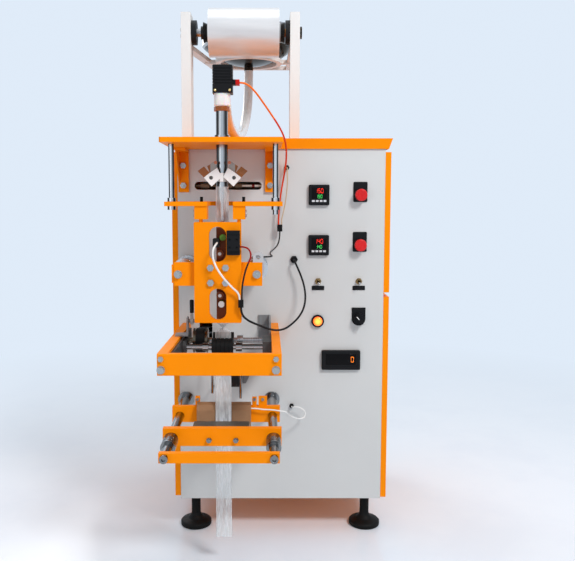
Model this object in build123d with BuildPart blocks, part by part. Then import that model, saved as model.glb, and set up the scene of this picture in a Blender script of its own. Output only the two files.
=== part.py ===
"""Single-lane pouch packing machine: film is drawn from a roll, folded round a
fill tube, sealed along its length, pulled down by rollers and sealed across.

Units are millimetres. +X is right, +Y runs into the cabinet, +Z is up. The
origin lies on the floor under the middle of the machine.
"""

from build123d import *
from math import cos, radians, sin, tan
import os

# Dimensions
# Cabinet
cabinet_width = 486.0
cabinet_depth = 430.0
panel_bottom = 83.0
panel_top = 927.0
sheet = 2.0
frame_tube = 25.0
door_thickness = 14.0
cap_height = 24.0
cap_overhang = 8.0
cap_side = 15.0
foot_pad_radius = 38.0
foot_stem_radius = 11.2
foot_spacing_x = 421.0
foot_inset_y = 42.0

# Head: how far things stand in front of the panel, and where the film runs
film_inset = 113.5
film_reach = 154.0
fill_tube_radius = 12.7
head_width = 248.0
head_offset = -121.5
top_plate_z = 925.5
top_plate_thickness = 10.0
top_plate_reach = 237.0
second_plate_z = 797.5
second_plate_thickness = 9.0
second_plate_reach = 220.0
guide_post_radius = 6.0
guide_post_reach = 185.0

# Vertical sealer
sealer_reach = 215.0
sealer_thickness = 12.0
sealer_width = 97.5
sealer_offset = -55.5
sealer_bottom = 556.0
sealer_top = 765.0
seal_stroke = 8.0

# Draw rollers
pinch_reach = 332.0
pinch_top = 517.0
pinch_height = 42.5
pinch_width = 239.5
pinch_offset = -117.0
pinch_plate = 12.0
roller_radius = 18.2
roller_length = 45.0
shaft_radius = 6.0
drive_shaft_reach = 135.0
drive_shaft_drop = 14.0
idler_shaft_reach = 173.0
idler_shaft_drop = 20.0
drum_radius = 23.5
motor_pulley_radius = 16.0
motor_depth = 120.0
motor_z = 470.0

# Cross jaws
jaw_rod_radius = 10.0
jaw_rod_z = 331.0
jaw_rod_offset = -98.5
jaw_rod_spacing = 206.0
rear_jaw_reach = 132.0
front_jaw_reach = 282.0
end_bar_reach = 384.0
jaw_stroke = 60.0
jaw_plate_height = 36.0

# Film roll and tank
post_width = 24.0
post_depth = 60.0
post_height = 317.0
post_set_back = 120.0
post_offset = -103.5
post_spacing = 269.0
roll_axis_z = 1224.0
roll_radius = 59.5
roll_offset = -48.0
roll_width = 174.5
tank_offset = 46.5
tank_set_back = 346.0
tank_radius = 128.0
tank_rim = 4.0
tank_bottom_z = 1177.0
tank_height = 98.0
hose_radius = 12.5

# Panel devices: distances in from the right edge of the panel, and heights
controller_size = 48.0
controller_inset = 155.0
controller_heights = (820.5, 703.0)
button_inset = 58.0
button_heights = (820.5, 703.5)
counter_inset = 100.0
counter_z = 428.0
toggle_insets = (155.5, 59.0)
toggle_z = 617.0
lamp_inset = 156.0
lamp_z = 522.0
selector_inset = 58.5
selector_z = 527.0

# Worked-out sizes
back_reach = tank_set_back + tank_radius + tank_rim
front_reach = end_bar_reach + 8.0
panel_y = (front_reach - back_reach) / 2
cap_bottom_z = panel_top
cap_top_z = panel_top + cap_height
half_width = cabinet_width / 2
inner_depth = cabinet_depth - 2 * sheet
mid_y = panel_y + cabinet_depth / 2
back_y = panel_y + cabinet_depth
rail_top = cap_top_z - sheet
film_y = panel_y - film_reach
# The head, the rollers, the jaws and the roll line up with the film, the controls with
# the right edge of the panel
film_x = film_inset - half_width
head_left = film_x + head_offset
head_right = head_left + head_width
sealer_left = film_x + sealer_offset
sealer_right = sealer_left + sealer_width
pinch_bottom = pinch_top - pinch_height
drive_shaft_z = pinch_top - drive_shaft_drop
idler_shaft_z = pinch_top - idler_shaft_drop
jaw_rod_left = film_x + jaw_rod_offset
jaw_rod_right = jaw_rod_left + jaw_rod_spacing
post_left = film_x + post_offset
post_right = post_left + post_spacing
roll_left = film_x + roll_offset
roll_right = roll_left + roll_width
tank_x = film_x + tank_offset
controller_places = [(half_width - controller_inset, height) for height in controller_heights]
counter_place = (half_width - counter_inset, counter_z)
button_places = [(half_width - button_inset, height) for height in button_heights]
toggle_places = [(half_width - inset, toggle_z) for inset in toggle_insets]
lamp_place = (half_width - lamp_inset, lamp_z)
selector_place = (half_width - selector_inset, selector_z)
gland_places = [(film_x + 159.5, 669.0), (film_x + 142, 884.0), (film_x + 155.5, 315.0)]
mid_rail_x = film_x + 149.5


def facing(reach):
    """Plane parallel to the front panel, this far in front of it, facing the viewer."""
    return Plane.XZ.offset(reach - panel_y)


def y_at(reach):
    """Y of a place this far in front of the panel; inside the cabinet it is negative."""
    return panel_y - reach


def span(x0, x1, y0, y1, mode=Mode.ADD):
    """Rectangle between two sketch coordinates each way."""
    with Locations(((x0 + x1) / 2, (y0 + y1) / 2)):
        Rectangle(abs(x1 - x0), abs(y1 - y0), mode=mode)


def hex_heads(plane, places, across_flats, height):
    """Hexagon heads standing on a plane."""
    with BuildSketch(plane) as heads:
        with Locations(*places):
            RegularPolygon(across_flats / 2, 6, major_radius=False)
    extrude(heads.sketch, amount=height)


def discs(plane, places, radius, height, mode=Mode.ADD):
    """Round heads, bosses or holes standing on a plane."""
    with BuildSketch(plane) as rounds:
        with Locations(*places):
            Circle(radius)
    extrude(rounds.sketch, amount=height, mode=mode)


def shaft_span(place, x0, x1, radius):
    """Length of round bar lying along X."""
    with BuildSketch(Plane.YZ.offset(x0)) as bar:
        with Locations(place):
            Circle(radius)
    extrude(bar.sketch, amount=x1 - x0)


def corner_radii(points):
    """Radius at each corner of a cord's route, as large as its two runs allow."""
    spots = [Vector(*point) for point in points]
    radii = []
    for before, corner, after in zip(spots, spots[1:], spots[2:]):
        first = corner - before
        second = after - corner
        turn = first.get_angle(second)
        shorter = min(first.length, second.length)
        radii.append(0.45 * shorter / tan(radians(turn / 2)))
    return radii


def make_cord(name, points, radius):
    """Round cord of straight runs joined by tangent arcs, written to its own file."""
    radii = corner_radii(points)
    with BuildPart() as cord:
        with BuildLine() as route:
            FilletPolyline(*points, radius=radii)
        with BuildSketch(Plane(origin=route.line @ 0, z_dir=route.line % 0)):
            Circle(radius)
        sweep()
    cord.part.label = name
    export_step(cord.part, f"parts/{name}.step")
    length = sum(edge.length for edge in route.edges())
    straight = 3.14159265 * radius**2 * length
    print(name, "length", round(length), "smallest radius", round(min(radii)),
          "volume ratio", round(cord.part.volume / straight, 3))


os.makedirs("parts", exist_ok=True)

# Cabinet
with BuildPart() as cabinet_frame:
    with BuildSketch(Plane.XY.offset(panel_bottom)):
        with Locations((0, mid_y)):
            Rectangle(cabinet_width, inner_depth)
    extrude(amount=sheet)
    with BuildSketch(Plane.XY.offset(panel_bottom + sheet)):
        with Locations((0, mid_y)):
            with GridLocations(cabinet_width - frame_tube, inner_depth - frame_tube, 2, 2):
                Rectangle(frame_tube, frame_tube)
    extrude(amount=rail_top - panel_bottom - sheet)
    for rail_z in (panel_bottom + sheet, rail_top - frame_tube):
        with BuildSketch(Plane.XY.offset(rail_z)):
            with Locations((0, mid_y)):
                Rectangle(cabinet_width, inner_depth)
                Rectangle(cabinet_width - 2 * frame_tube, inner_depth - 2 * frame_tube,
                          mode=Mode.SUBTRACT)
                with Locations((mid_rail_x, 0)):
                    Rectangle(frame_tube, inner_depth)
        extrude(amount=frame_tube)
    # Bore through the front corner post for the left jaw rod
    discs(facing(0), [(jaw_rod_left, jaw_rod_z)], jaw_rod_radius + 0.6, -40, mode=Mode.SUBTRACT)
    # Rail behind the gap between the two right-hand doors
    with BuildSketch(Plane.XY.offset(573.0)):
        with Locations((half_width - frame_tube / 2, mid_y)):
            Rectangle(frame_tube, inner_depth)
    extrude(amount=frame_tube)
cabinet_frame.part.label = "cabinet_frame"
export_step(cabinet_frame.part, "parts/cabinet_frame.step")

slot_left = film_x - 73.5
slot_right = film_x + 83.5
slot_z = 842.0
slot_height = 18.6

with BuildPart() as cabinet_panels:
    with BuildSketch(facing(0)):
        span(-half_width, half_width, panel_bottom, panel_top + 12)
        with Locations(((slot_left + slot_right) / 2, slot_z)):
            SlotOverall(slot_right - slot_left, slot_height, mode=Mode.SUBTRACT)
        with Locations(*controller_places):
            Rectangle(45.4, 45.4, mode=Mode.SUBTRACT)
        with Locations(counter_place):
            Rectangle(88.0, 43.0, mode=Mode.SUBTRACT)
        with Locations(*button_places, lamp_place, selector_place):
            Circle(11.3, mode=Mode.SUBTRACT)
        with Locations(*toggle_places):
            Circle(6.3, mode=Mode.SUBTRACT)
        with Locations((jaw_rod_left, jaw_rod_z), (jaw_rod_right, jaw_rod_z)):
            Circle(jaw_rod_radius + 0.4, mode=Mode.SUBTRACT)
        # Way through for the belt of the draw rollers
        with Locations((film_x - 49.5, drive_shaft_z - 10)):
            Rectangle(30.0, 84.0, mode=Mode.SUBTRACT)
    extrude(amount=-sheet)
    # Back panel with two banks of vents
    with BuildSketch(Plane.XZ.offset(-back_y)):
        span(-half_width, half_width, panel_bottom, panel_top + 12)
        for vent_z in (240.0, 780.0):
            with Locations((0, vent_z)):
                with GridLocations(1, 16, 1, 6):
                    SlotOverall(150, 6, mode=Mode.SUBTRACT)
    extrude(amount=sheet)
cabinet_panels.part.label = "cabinet_panels"
export_step(cabinet_panels.part, "parts/cabinet_panels.step")

with BuildPart() as top_cap:
    with BuildSketch(Plane.XY.offset(cap_bottom_z)):
        with Locations((0, mid_y)):
            Rectangle(cabinet_width + 2 * cap_side - 16, cabinet_depth + 8)
    with BuildSketch(Plane.XY.offset(cap_top_z)):
        with Locations((0, mid_y)):
            Rectangle(cabinet_width + 2 * cap_side, cabinet_depth + 2 * cap_overhang)
    loft()
    offset(amount=-sheet, openings=top_cap.faces().sort_by(Axis.Z)[0])
top_cap.part.label = "top_cap"
export_step(top_cap.part, "parts/top_cap.step")

# Side doors: folded trays that hang on lift-off hinges at the back
hinge_x = half_width + door_thickness - 4
hinge_y = back_y - 1
knuckle_radius = 4.0
knuckle_length = 24.0
door_back_y = hinge_y - knuckle_radius - 1
door_front_y = panel_y + 1
doors = {"left_door": (-1, 90.0, 920.0), "right_upper_door": (1, 590.0, 920.0),
         "right_lower_door": (1, 86.0, 579.0)}


def hinge_heights(low, high):
    """Heights of the hinges of a door, by its own height."""
    count = 3 if high - low > 600 else 2
    step = (high - low - 160) / (count - 1)
    return [low + 80 + step * index for index in range(count)]


for door_name, (side, low, high) in doors.items():
    inner_x = side * (half_width + 0.3)
    outer_x = side * (half_width + door_thickness)
    with BuildPart() as door:
        with BuildSketch(Plane.XY.offset(low)):
            span(inner_x, outer_x, door_front_y, door_back_y)
        extrude(amount=high - low)
        fillet(door.edges().filter_by(Axis.Z).group_by(Axis.X)[0 if side < 0 else -1], 2.5)
        with BuildSketch(Plane.XY.offset(low + sheet)):
            span(inner_x, outer_x - side * sheet, door_front_y + sheet, door_back_y - sheet)
        extrude(amount=high - low - 2 * sheet, mode=Mode.SUBTRACT)
        # Quarter-turn lock near the front edge
        discs(Plane.YZ.offset(outer_x - (0 if side > 0 else 1.4)),
              [(door_front_y + 30, (low + high) / 2)], 11, 1.4)
        for knuckle_z in hinge_heights(low, high):
            with BuildSketch(Plane.XY.offset(knuckle_z + 0.3)):
                with Locations((side * hinge_x, hinge_y)):
                    Circle(knuckle_radius)
                span(side * (hinge_x - 2), side * (hinge_x + 2), door_back_y - 1, hinge_y)
                with Locations((side * hinge_x, hinge_y)):
                    Circle(2.3, mode=Mode.SUBTRACT)
            extrude(amount=knuckle_length)
    door.part.label = door_name
    export_step(door.part, f"parts/{door_name}.step")

with BuildPart() as door_hinges:
    for side, low, high in doors.values():
        for knuckle_z in hinge_heights(low, high):
            with BuildSketch(Plane.XY.offset(knuckle_z - knuckle_length)):
                with Locations((side * hinge_x, hinge_y)):
                    Circle(knuckle_radius)
                span(side * half_width, side * hinge_x, hinge_y - 2, hinge_y + 1)
            extrude(amount=knuckle_length)
            with BuildSketch(Plane.XY.offset(knuckle_z)):
                with Locations((side * hinge_x, hinge_y)):
                    Circle(2.0)
            extrude(amount=knuckle_length)
door_hinges.part.label = "door_hinges"
export_step(door_hinges.part, "parts/door_hinges.step")

with BuildPart() as levelling_feet:
    with BuildSketch(Plane.XZ) as foot_profile:
        with BuildLine():
            Polyline((0, 0), (foot_pad_radius - 2, 0))
            RadiusArc((foot_pad_radius - 2, 0), (foot_pad_radius, 2), -2)
            Polyline((foot_pad_radius, 2), (foot_pad_radius, 9), (foot_pad_radius - 3, 12),
                     (20, 17), (foot_stem_radius + 2, 24), (foot_stem_radius, 30),
                     (foot_stem_radius, panel_bottom), (0, panel_bottom), (0, 0))
        make_face()
    foot = revolve(foot_profile.sketch, axis=Axis.Z, mode=Mode.PRIVATE)
    with Locations((0, mid_y)):
        with GridLocations(foot_spacing_x, cabinet_depth - 2 * foot_inset_y, 2, 2):
            add(foot)
levelling_feet.part.label = "levelling_feet"
export_step(levelling_feet.part, "parts/levelling_feet.step")

# Panel devices
with BuildPart() as panel_instruments:
    with BuildSketch(facing(0)):
        with Locations(*controller_places):
            RectangleRounded(controller_size, controller_size, 3)
        with Locations(counter_place):
            RectangleRounded(92, 47, 3)
    extrude(amount=9)
    chamfer(panel_instruments.faces().sort_by(Axis.Y)[0:3].edges(), 1.5)
    with BuildSketch(facing(9)):
        with Locations(*controller_places):
            Rectangle(38, 38)
        with Locations(counter_place):
            Rectangle(80, 36)
    extrude(amount=-1.2, mode=Mode.SUBTRACT)
    with BuildSketch(facing(0)):
        with Locations(*controller_places):
            Rectangle(45, 45)
        with Locations(counter_place):
            Rectangle(87.6, 42.6)
    extrude(amount=-70)
    # Row of keys under each readout
    for place_x, place_z in controller_places:
        with BuildSketch(facing(7.8)):
            with Locations((place_x, place_z - 14)):
                with GridLocations(9, 1, 4, 1):
                    RectangleRounded(6.5, 4.5, 1)
        extrude(amount=1.0)
panel_instruments.part.label = "panel_instruments"
export_step(panel_instruments.part, "parts/panel_instruments.step")

plate_thickness = 1.5
with BuildPart() as panel_plates:
    for place_x, place_z in button_places:
        with BuildSketch(facing(0)):
            with Locations((place_x, place_z + 7)):
                RectangleRounded(33, 47, 3)
        extrude(amount=plate_thickness)
        discs(facing(plate_thickness), [(place_x, place_z)], 15, 7)
    for place_x, place_z in toggle_places:
        with BuildSketch(facing(0)):
            with Locations((place_x, place_z - 16)):
                RectangleRounded(29.5, 10.5, 1.5)
        extrude(amount=1)
    with BuildSketch(facing(0)):
        with Locations(selector_place):
            Circle(16.3)
        span(selector_place[0] - 16.3, selector_place[0] + 16.3,
             selector_place[1], selector_place[1] + 27)
    extrude(amount=plate_thickness)
    discs(facing(plate_thickness), [selector_place], 14.5, 6)
    discs(facing(0), [lamp_place], 15, 6)
    # Shanks of the buttons, the lamp and the selector, behind the panel
    discs(facing(0), button_places + [lamp_place, selector_place], 11, -38)
    # Bore in which each button's stem slides
    discs(facing(10), button_places, 7.5, -30, mode=Mode.SUBTRACT)
    discs(facing(10), [selector_place], 6.3, -20, mode=Mode.SUBTRACT)
    discs(facing(6), [lamp_place], 11, -3, mode=Mode.SUBTRACT)
panel_plates.part.label = "panel_plates"
export_step(panel_plates.part, "parts/panel_plates.step")

button_travel = 4.0
button_face = plate_thickness + 7 + button_travel + 0.5
for button_name, place in zip(("push_button_upper", "push_button_lower"), button_places):
    with BuildPart() as button:
        discs(facing(-10), [place], 7.2, 10 + button_face)
        discs(facing(button_face), [place], 14.2, 9)
        fillet(button.faces().sort_by(Axis.Y)[0].edges(), 3)
    button.part.label = button_name
    export_step(button.part, f"parts/{button_name}.step")

with BuildPart() as toggle_bodies:
    for place in toggle_places:
        hex_heads(facing(0), [place], 14, 3)
        discs(facing(3), [place], 6, 5)
        discs(facing(0), [place], 6, -2)
        with BuildSketch(facing(-sheet)):
            with Locations(place):
                Rectangle(13, 28)
        extrude(amount=-22)
        # Throat in which the lever swings
        discs(facing(8), [place], 4.6, -8, mode=Mode.SUBTRACT)
toggle_bodies.part.label = "toggle_bodies"
export_step(toggle_bodies.part, "parts/toggle_bodies.step")

lever_tilt = 12.0
for lever_name, (lever_x, lever_z) in zip(("toggle_lever_left", "toggle_lever_right"),
                                          toggle_places):
    with BuildPart() as lever:
        with BuildSketch(facing(3)):
            with Locations((lever_x, lever_z)):
                Circle(1.6)
        extrude(amount=15, taper=-2.5)
        with Locations((lever_x, y_at(3), lever_z)):
            Sphere(2.6)
        with Locations((lever_x, y_at(18), lever_z)):
            Sphere(2.7)
    tilted = lever.part.rotate(Axis((lever_x, y_at(3), lever_z), (1, 0, 0)), lever_tilt)
    tilted.label = lever_name
    export_step(tilted, f"parts/{lever_name}.step")

with BuildPart() as selector_knob:
    discs(facing(plate_thickness + 6.4), [selector_place], 12.5, 7)
    with BuildSketch(facing(plate_thickness + 13.4)):
        with Locations(Location(selector_place, 40)):
            RectangleRounded(6.5, 24, 2.5)
    extrude(amount=9)
    fillet(selector_knob.faces().sort_by(Axis.Y)[0].edges(), 1)
    discs(facing(-6), [selector_place], 6, 14)
selector_knob.part.label = "selector_knob"
export_step(selector_knob.part, "parts/selector_knob.step")

with BuildPart() as pilot_lens:
    discs(facing(3), [lamp_place], 10.8, 9)
    fillet(pilot_lens.faces().sort_by(Axis.Y)[0].edges(), 4)
pilot_lens.part.label = "pilot_lens"
export_step(pilot_lens.part, "parts/pilot_lens.step")

with BuildPart() as cable_glands:
    for place, size in zip(gland_places, (8.0, 5.5, 5.0)):
        hex_heads(facing(0), [place], size * 2, 4)
        discs(facing(4), [place], size * 0.8, 4)
    # Mains and compressed-air inlets low on the back
    hex_heads(Plane.XZ.offset(-back_y), [(-150, 150)], 26, -4)
    discs(Plane.XZ.offset(-back_y - 4), [(-150, 150)], 9, -3.5)
    hex_heads(Plane.XZ.offset(-back_y), [(-90, 150)], 17, -3)
    discs(Plane.XZ.offset(-back_y - 3), [(-90, 150)], 6, -4.5)
cable_glands.part.label = "cable_glands"
export_step(cable_glands.part, "parts/cable_glands.step")

# Head
top_plate_top = top_plate_z + top_plate_thickness
post_centres = [(head_left + 18, y_at(guide_post_reach)),
                (head_right - 14, y_at(guide_post_reach))]

bracket_lefts = (head_left + 11, head_right - 35)
clamp_blocks = ((film_x - 54, film_x - 28), (film_x + 25, film_x + 50))
with BuildPart() as head_plates:
    with BuildSketch(Plane.XY.offset(top_plate_z)):
        span(head_left, head_right, y_at(top_plate_reach), y_at(10))
        with Locations((film_x, film_y)):
            Circle(fill_tube_radius + 0.2, mode=Mode.SUBTRACT)
    extrude(amount=top_plate_thickness)
    chamfer(head_plates.edges().filter_by(Axis.Z).group_by(Axis.Y)[0], 3)
    # Brackets on the panel
    for bracket_x in bracket_lefts:
        with BuildSketch(facing(0)):
            span(bracket_x, bracket_x + 24, 827, top_plate_z)
        extrude(amount=6)
        with BuildSketch(Plane.XY.offset(top_plate_z - 6)):
            span(bracket_x, bracket_x + 24, y_at(80), y_at(6))
        extrude(amount=6)
        # Thin rib along the outer edge
        with BuildSketch(Plane.YZ.offset(bracket_x if bracket_x < film_x else bracket_x + 21)):
            with BuildLine():
                Polyline((y_at(6), 850), (y_at(6), top_plate_z - 6),
                         (y_at(70), top_plate_z - 6), (y_at(6), 850))
            make_face()
        extrude(amount=3)
    # Second plate, with the open notch in which the film hangs round the fill tube
    with BuildSketch(Plane.XY.offset(second_plate_z)):
        span(head_left + 7, head_right, y_at(second_plate_reach), y_at(100))
        span(film_x - 27, film_x + 25, y_at(second_plate_reach), film_y, mode=Mode.SUBTRACT)
        with Locations((film_x - 1, film_y)):
            Circle(26, mode=Mode.SUBTRACT)
        with Locations(*post_centres):
            Circle(guide_post_radius + 0.2, mode=Mode.SUBTRACT)
    extrude(amount=second_plate_thickness)
    # Blocks that clamp the vertical sealer under the second plate
    for block_left, block_right in clamp_blocks:
        with BuildSketch(Plane.XY.offset(second_plate_z - 27)):
            span(block_left, block_right, y_at(second_plate_reach - 3), y_at(175))
        extrude(amount=27)
        with BuildSketch(Plane.XY.offset(sealer_top)):
            with Locations(((block_left + block_right) / 2, y_at(sealer_reach - 6))):
                Circle(4)
        extrude(amount=second_plate_z - 27 - sealer_top)
head_plates.part.label = "head_plates"
export_step(head_plates.part, "parts/head_plates.step")

seal_rod_z = 656.0
seal_rod_places = [(film_x - 90, seal_rod_z), (film_x + 73.5, seal_rod_z)]
cross_plate_reach = sealer_reach - sealer_thickness
with BuildPart() as chrome_posts:
    for (centre_x, centre_y), drop in zip(post_centres, (136.0, 146.0)):
        with BuildSketch(Plane.XY.offset(top_plate_z - drop)):
            with Locations((centre_x, centre_y)):
                Circle(guide_post_radius)
        extrude(amount=drop)
        # Collars that hold the second plate on the posts
        for collar_z in (second_plate_z - 8, second_plate_z + second_plate_thickness):
            with BuildSketch(Plane.XY.offset(collar_z)):
                with Locations((centre_x, centre_y)):
                    Circle(guide_post_radius + 3)
            extrude(amount=8)
    # Bars that carry the vertical sealer, each with a bush on the panel
    discs(facing(0), seal_rod_places, 8, cross_plate_reach - 12)
    # Air cylinders that press the sealer on, with their end caps
    discs(facing(0), seal_rod_places, 21, 96)
    discs(facing(0), seal_rod_places, 24, 14)
    discs(facing(82), seal_rod_places, 24, 14)
    # Bars beside the lower mechanism
    for bar_x, bar_low in ((film_x - 32.5, 357.0), (film_x + 33.5, 345.0)):
        with BuildSketch(Plane.XY.offset(bar_low)):
            with Locations((bar_x, y_at(40))):
                Circle(2.8)
        extrude(amount=452 - bar_low)
        for bar_end in (bar_low + 6, 440):
            discs(facing(0), [(bar_x, bar_end)], 2.5, 40)
chrome_posts.part.label = "chrome_posts"
export_step(chrome_posts.part, "parts/chrome_posts.step")

valve_nut_z = 995.0
fill_tube_bottom = 560.0
with BuildPart() as fill_tube:
    with BuildSketch(Plane.XY.offset(fill_tube_bottom)):
        with Locations((film_x, film_y)):
            Circle(fill_tube_radius)
            Circle(fill_tube_radius - 1.5, mode=Mode.SUBTRACT)
    extrude(amount=valve_nut_z - fill_tube_bottom)
    # Flange on the top plate
    with BuildSketch(Plane.XY.offset(top_plate_top)):
        with Locations((film_x, film_y)):
            Circle(19)
            Circle(fill_tube_radius - 1, mode=Mode.SUBTRACT)
    extrude(amount=3)
    with BuildSketch(Plane.XY.offset(top_plate_top + 3)):
        with Locations((film_x, film_y)):
            Circle(15.5)
            Circle(fill_tube_radius - 1, mode=Mode.SUBTRACT)
    extrude(amount=7)
fill_tube.part.label = "fill_tube"
export_step(fill_tube.part, "parts/fill_tube.step")

valve_bottom = 1004.0
valve_top = 1031.0
coil_top = 1088.5
inlet_slope = radians(28)
inlet_length = 18.0
with BuildPart() as valve_body:
    with BuildSketch(Plane.XY.offset(valve_bottom)):
        with Locations((film_x + 1, film_y)):
            RectangleRounded(34, 35, 13)
    extrude(amount=valve_top - valve_bottom)
    fillet(valve_body.faces().sort_by(Axis.Z)[0].edges(), 4)
    with BuildSketch(Plane.XY.offset(valve_nut_z)):
        with Locations((film_x, film_y)):
            RegularPolygon(16.5, 8)
    extrude(amount=valve_bottom - valve_nut_z)
    # Inlet spigot, slanting down to the back where the hose comes in
    inlet = Plane(origin=(film_x + 6, y_at(film_reach - 14), 1020),
                  z_dir=(0, cos(inlet_slope), -sin(inlet_slope)))
    discs(inlet, [(0, 0)], 12, 6)
    discs(inlet, [(0, 0)], 10, inlet_length)
valve_body.part.label = "valve_body"
export_step(valve_body.part, "parts/valve_body.step")

with BuildPart() as valve_coil:
    with BuildSketch(Plane.XY.offset(valve_top)):
        with Locations((film_x + 2.5, film_y)):
            RectangleRounded(42, 38, 4)
    extrude(amount=coil_top - valve_top)
    # Cooling ribs round the coil
    rib_pitch = 6.0
    for index in range(6):
        with BuildSketch(Plane.XY.offset(valve_top + 18 + rib_pitch * index)):
            with Locations((film_x + 2.5, film_y)):
                RectangleRounded(43, 39, 4)
                RectangleRounded(39, 35, 3, mode=Mode.SUBTRACT)
        extrude(amount=2.5, mode=Mode.SUBTRACT)
    fillet(valve_coil.faces().sort_by(Axis.Z)[-1].edges(), 2)
    # Plug socket on the side and screws in the lower corners
    with BuildSketch(Plane.YZ.offset(film_x + 2.5 + 19)):
        with Locations((film_y, 1054)):
            RectangleRounded(20, 11, 2)
    extrude(amount=16)
valve_coil.part.label = "valve_coil"
export_step(valve_coil.part, "parts/valve_coil.step")

wing_reach = film_reach + fill_tube_radius + 9
wing_mid = film_x + 2
# Outlines of one wing, as distances out from the middle and heights
wing_front = ((39.1, 856.4), (22.9, 837.9), (1.6, 857.4), (11.2, 876.7), (26.9, 866.1))
wing_outer = ((52.3, 870.1), (38.8, 879.6), (26.9, 866.1), (39.1, 856.4))
wing_upper = ((32.4, 880.0), (18.0, 889.8), (11.2, 876.7), (26.9, 866.1))
with BuildPart() as forming_wings:
    for side in (-1, 1):
        for outline, set_back, thickness in ((wing_front, 0, 7), (wing_outer, 1.5, 5.5),
                                             (wing_upper, 3.5, 3.5)):
            with BuildSketch(facing(wing_reach - set_back)):
                with BuildLine():
                    Polyline(*[(wing_mid + side * out, height) for out, height in outline],
                             close=True)
                make_face()
            extrude(amount=-thickness)
        # Rounded lip at the top, over which the film edge runs
        discs(facing(wing_reach), [(wing_mid + side * 14.5, 887.5)], 3.4, -7)
    discs(facing(wing_reach), [(wing_mid - 24, 856.0), (wing_mid + 24, 856.0)], 4, -7,
          mode=Mode.SUBTRACT)
    # Clamp ring on the fill tube behind the wings
    with BuildSketch(Plane.XY.offset(848)):
        with Locations((film_x, film_y)):
            Circle(fill_tube_radius + 9)
            Circle(fill_tube_radius + 0.2, mode=Mode.SUBTRACT)
    extrude(amount=18)
    with BuildSketch(facing(wing_reach - 7)):
        span(film_x - 28, film_x + 31, 850, 864)
    extrude(amount=-4)
    with BuildSketch(Plane.XY.offset(840)):
        with Locations((film_x, film_y)):
            Circle(fill_tube_radius + 0.2)
    extrude(amount=40, mode=Mode.SUBTRACT)
forming_wings.part.label = "forming_wings"
export_step(forming_wings.part, "parts/forming_wings.step")

slot_roller_depth = -11.0
slot_roller_place = (y_at(slot_roller_depth), slot_z)
with BuildPart() as slot_roller:
    shaft_span(slot_roller_place, slot_left - 6, slot_right + 6, 3)
    for barrel_left, barrel_right in ((film_x - 60, film_x - 40), (film_x - 12, film_x + 14),
                                      (film_x + 21, film_x + 37)):
        shaft_span(slot_roller_place, barrel_left, barrel_right, 6.5)
    shaft_span(slot_roller_place, film_x + 61.5, film_x + 65.5, 5)
slot_roller.part.label = "slot_roller"
export_step(slot_roller.part, "parts/slot_roller.step")

# Vertical sealer
slot_spans = ((683.0, 755.5), (562.0, 627.5))
with BuildPart() as sealer_frame:
    with BuildSketch(facing(sealer_reach)):
        with Locations(((sealer_left + sealer_right) / 2, (sealer_bottom + sealer_top) / 2)):
            RectangleRounded(sealer_right - sealer_left, sealer_top - sealer_bottom, 3)
        for slot_low, slot_high in slot_spans:
            with Locations(((sealer_left + sealer_right) / 2, (slot_low + slot_high) / 2)):
                SlotOverall(slot_high - slot_low, 35, rotation=90, mode=Mode.SUBTRACT)
    extrude(amount=-sealer_thickness)
    with BuildSketch(facing(cross_plate_reach)):
        span(film_x - 98.5, film_x + 85, 632, 681)
    extrude(amount=-12)
    # Edge plate with its screws on the left of the cross plate
    with BuildSketch(facing(cross_plate_reach - 2)):
        span(film_x - 103.5, film_x - 98.5, 638, 676)
    extrude(amount=-8)
sealer_frame.part.label = "sealer_frame"
export_step(sealer_frame.part, "parts/sealer_frame.step")

with BuildPart() as terminal_block:
    with BuildSketch(facing(sealer_reach)):
        span(film_x + 12.5, film_x + 39.5, 698, 748)
    extrude(amount=12)
    with BuildSketch(facing(sealer_reach + 12)):
        span(film_x + 12.5, film_x + 39.5, 706, 738)
    extrude(amount=5)
    terminals = [(film_x + out, height) for out in (18.5, 33.5) for height in (730, 714)]
    discs(facing(sealer_reach + 17), terminals, 2.4, -3, mode=Mode.SUBTRACT)
    # Lead clamp standing on the cross plate
    with BuildSketch(facing(cross_plate_reach)):
        span(film_x + 65.5, film_x + 87.5, 681, 688)
        with Locations((film_x + 76.5, 692.2)):
            Circle(11)
            Circle(5, mode=Mode.SUBTRACT)
    extrude(amount=-12)
terminal_block.part.label = "terminal_block"
export_step(terminal_block.part, "parts/terminal_block.step")

# Heater bar behind the sealer plate, carried by insulators that slide in its slots
heater_back_reach = film_reach + fill_tube_radius + seal_stroke + 3
with BuildPart() as heater_bar:
    with BuildSketch(facing(cross_plate_reach - 12 - 0.5)):
        span(film_x - 11, film_x + 11, sealer_bottom + 4, sealer_top - 12)
    extrude(amount=-(cross_plate_reach - 12.5 - heater_back_reach))
    # Ceramic beads and screw posts on its front, seen through the slots
    bar_front = cross_plate_reach - 12.5
    discs(facing(bar_front), [(film_x + 3.5, 733), (film_x, 594)], 6.5,
          sealer_reach - 6 - bar_front)
    discs(facing(bar_front), [(film_x - 3, 699), (film_x - 3, 612)], 7.5,
          sealer_reach - 10 - bar_front)
    discs(facing(sealer_reach - 10), [(film_x - 3, 699), (film_x - 3, 612)], 3.5, 3)
    # Terminal of the heater's lead
    with BuildSketch(facing(bar_front)):
        with Locations((film_x - 10.5, 722)):
            RectangleRounded(13, 18, 2)
    extrude(amount=sealer_reach - 2 - bar_front)
heater_bar.part.label = "heater_bar"
export_step(heater_bar.part, "parts/heater_bar.step")

# Draw rollers
arm_back_reach = 0.0
arm_front_reach = pinch_reach - pinch_plate
frame_left = film_x + pinch_offset
frame_right = frame_left + pinch_width
right_arm_inner = frame_right - 18
left_arm_inner_back = film_x - 85.5
left_arm_inner_front = film_x - 96.5
shaft_places = [(y_at(drive_shaft_reach), drive_shaft_z),
                (y_at(idler_shaft_reach), idler_shaft_z)]

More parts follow.
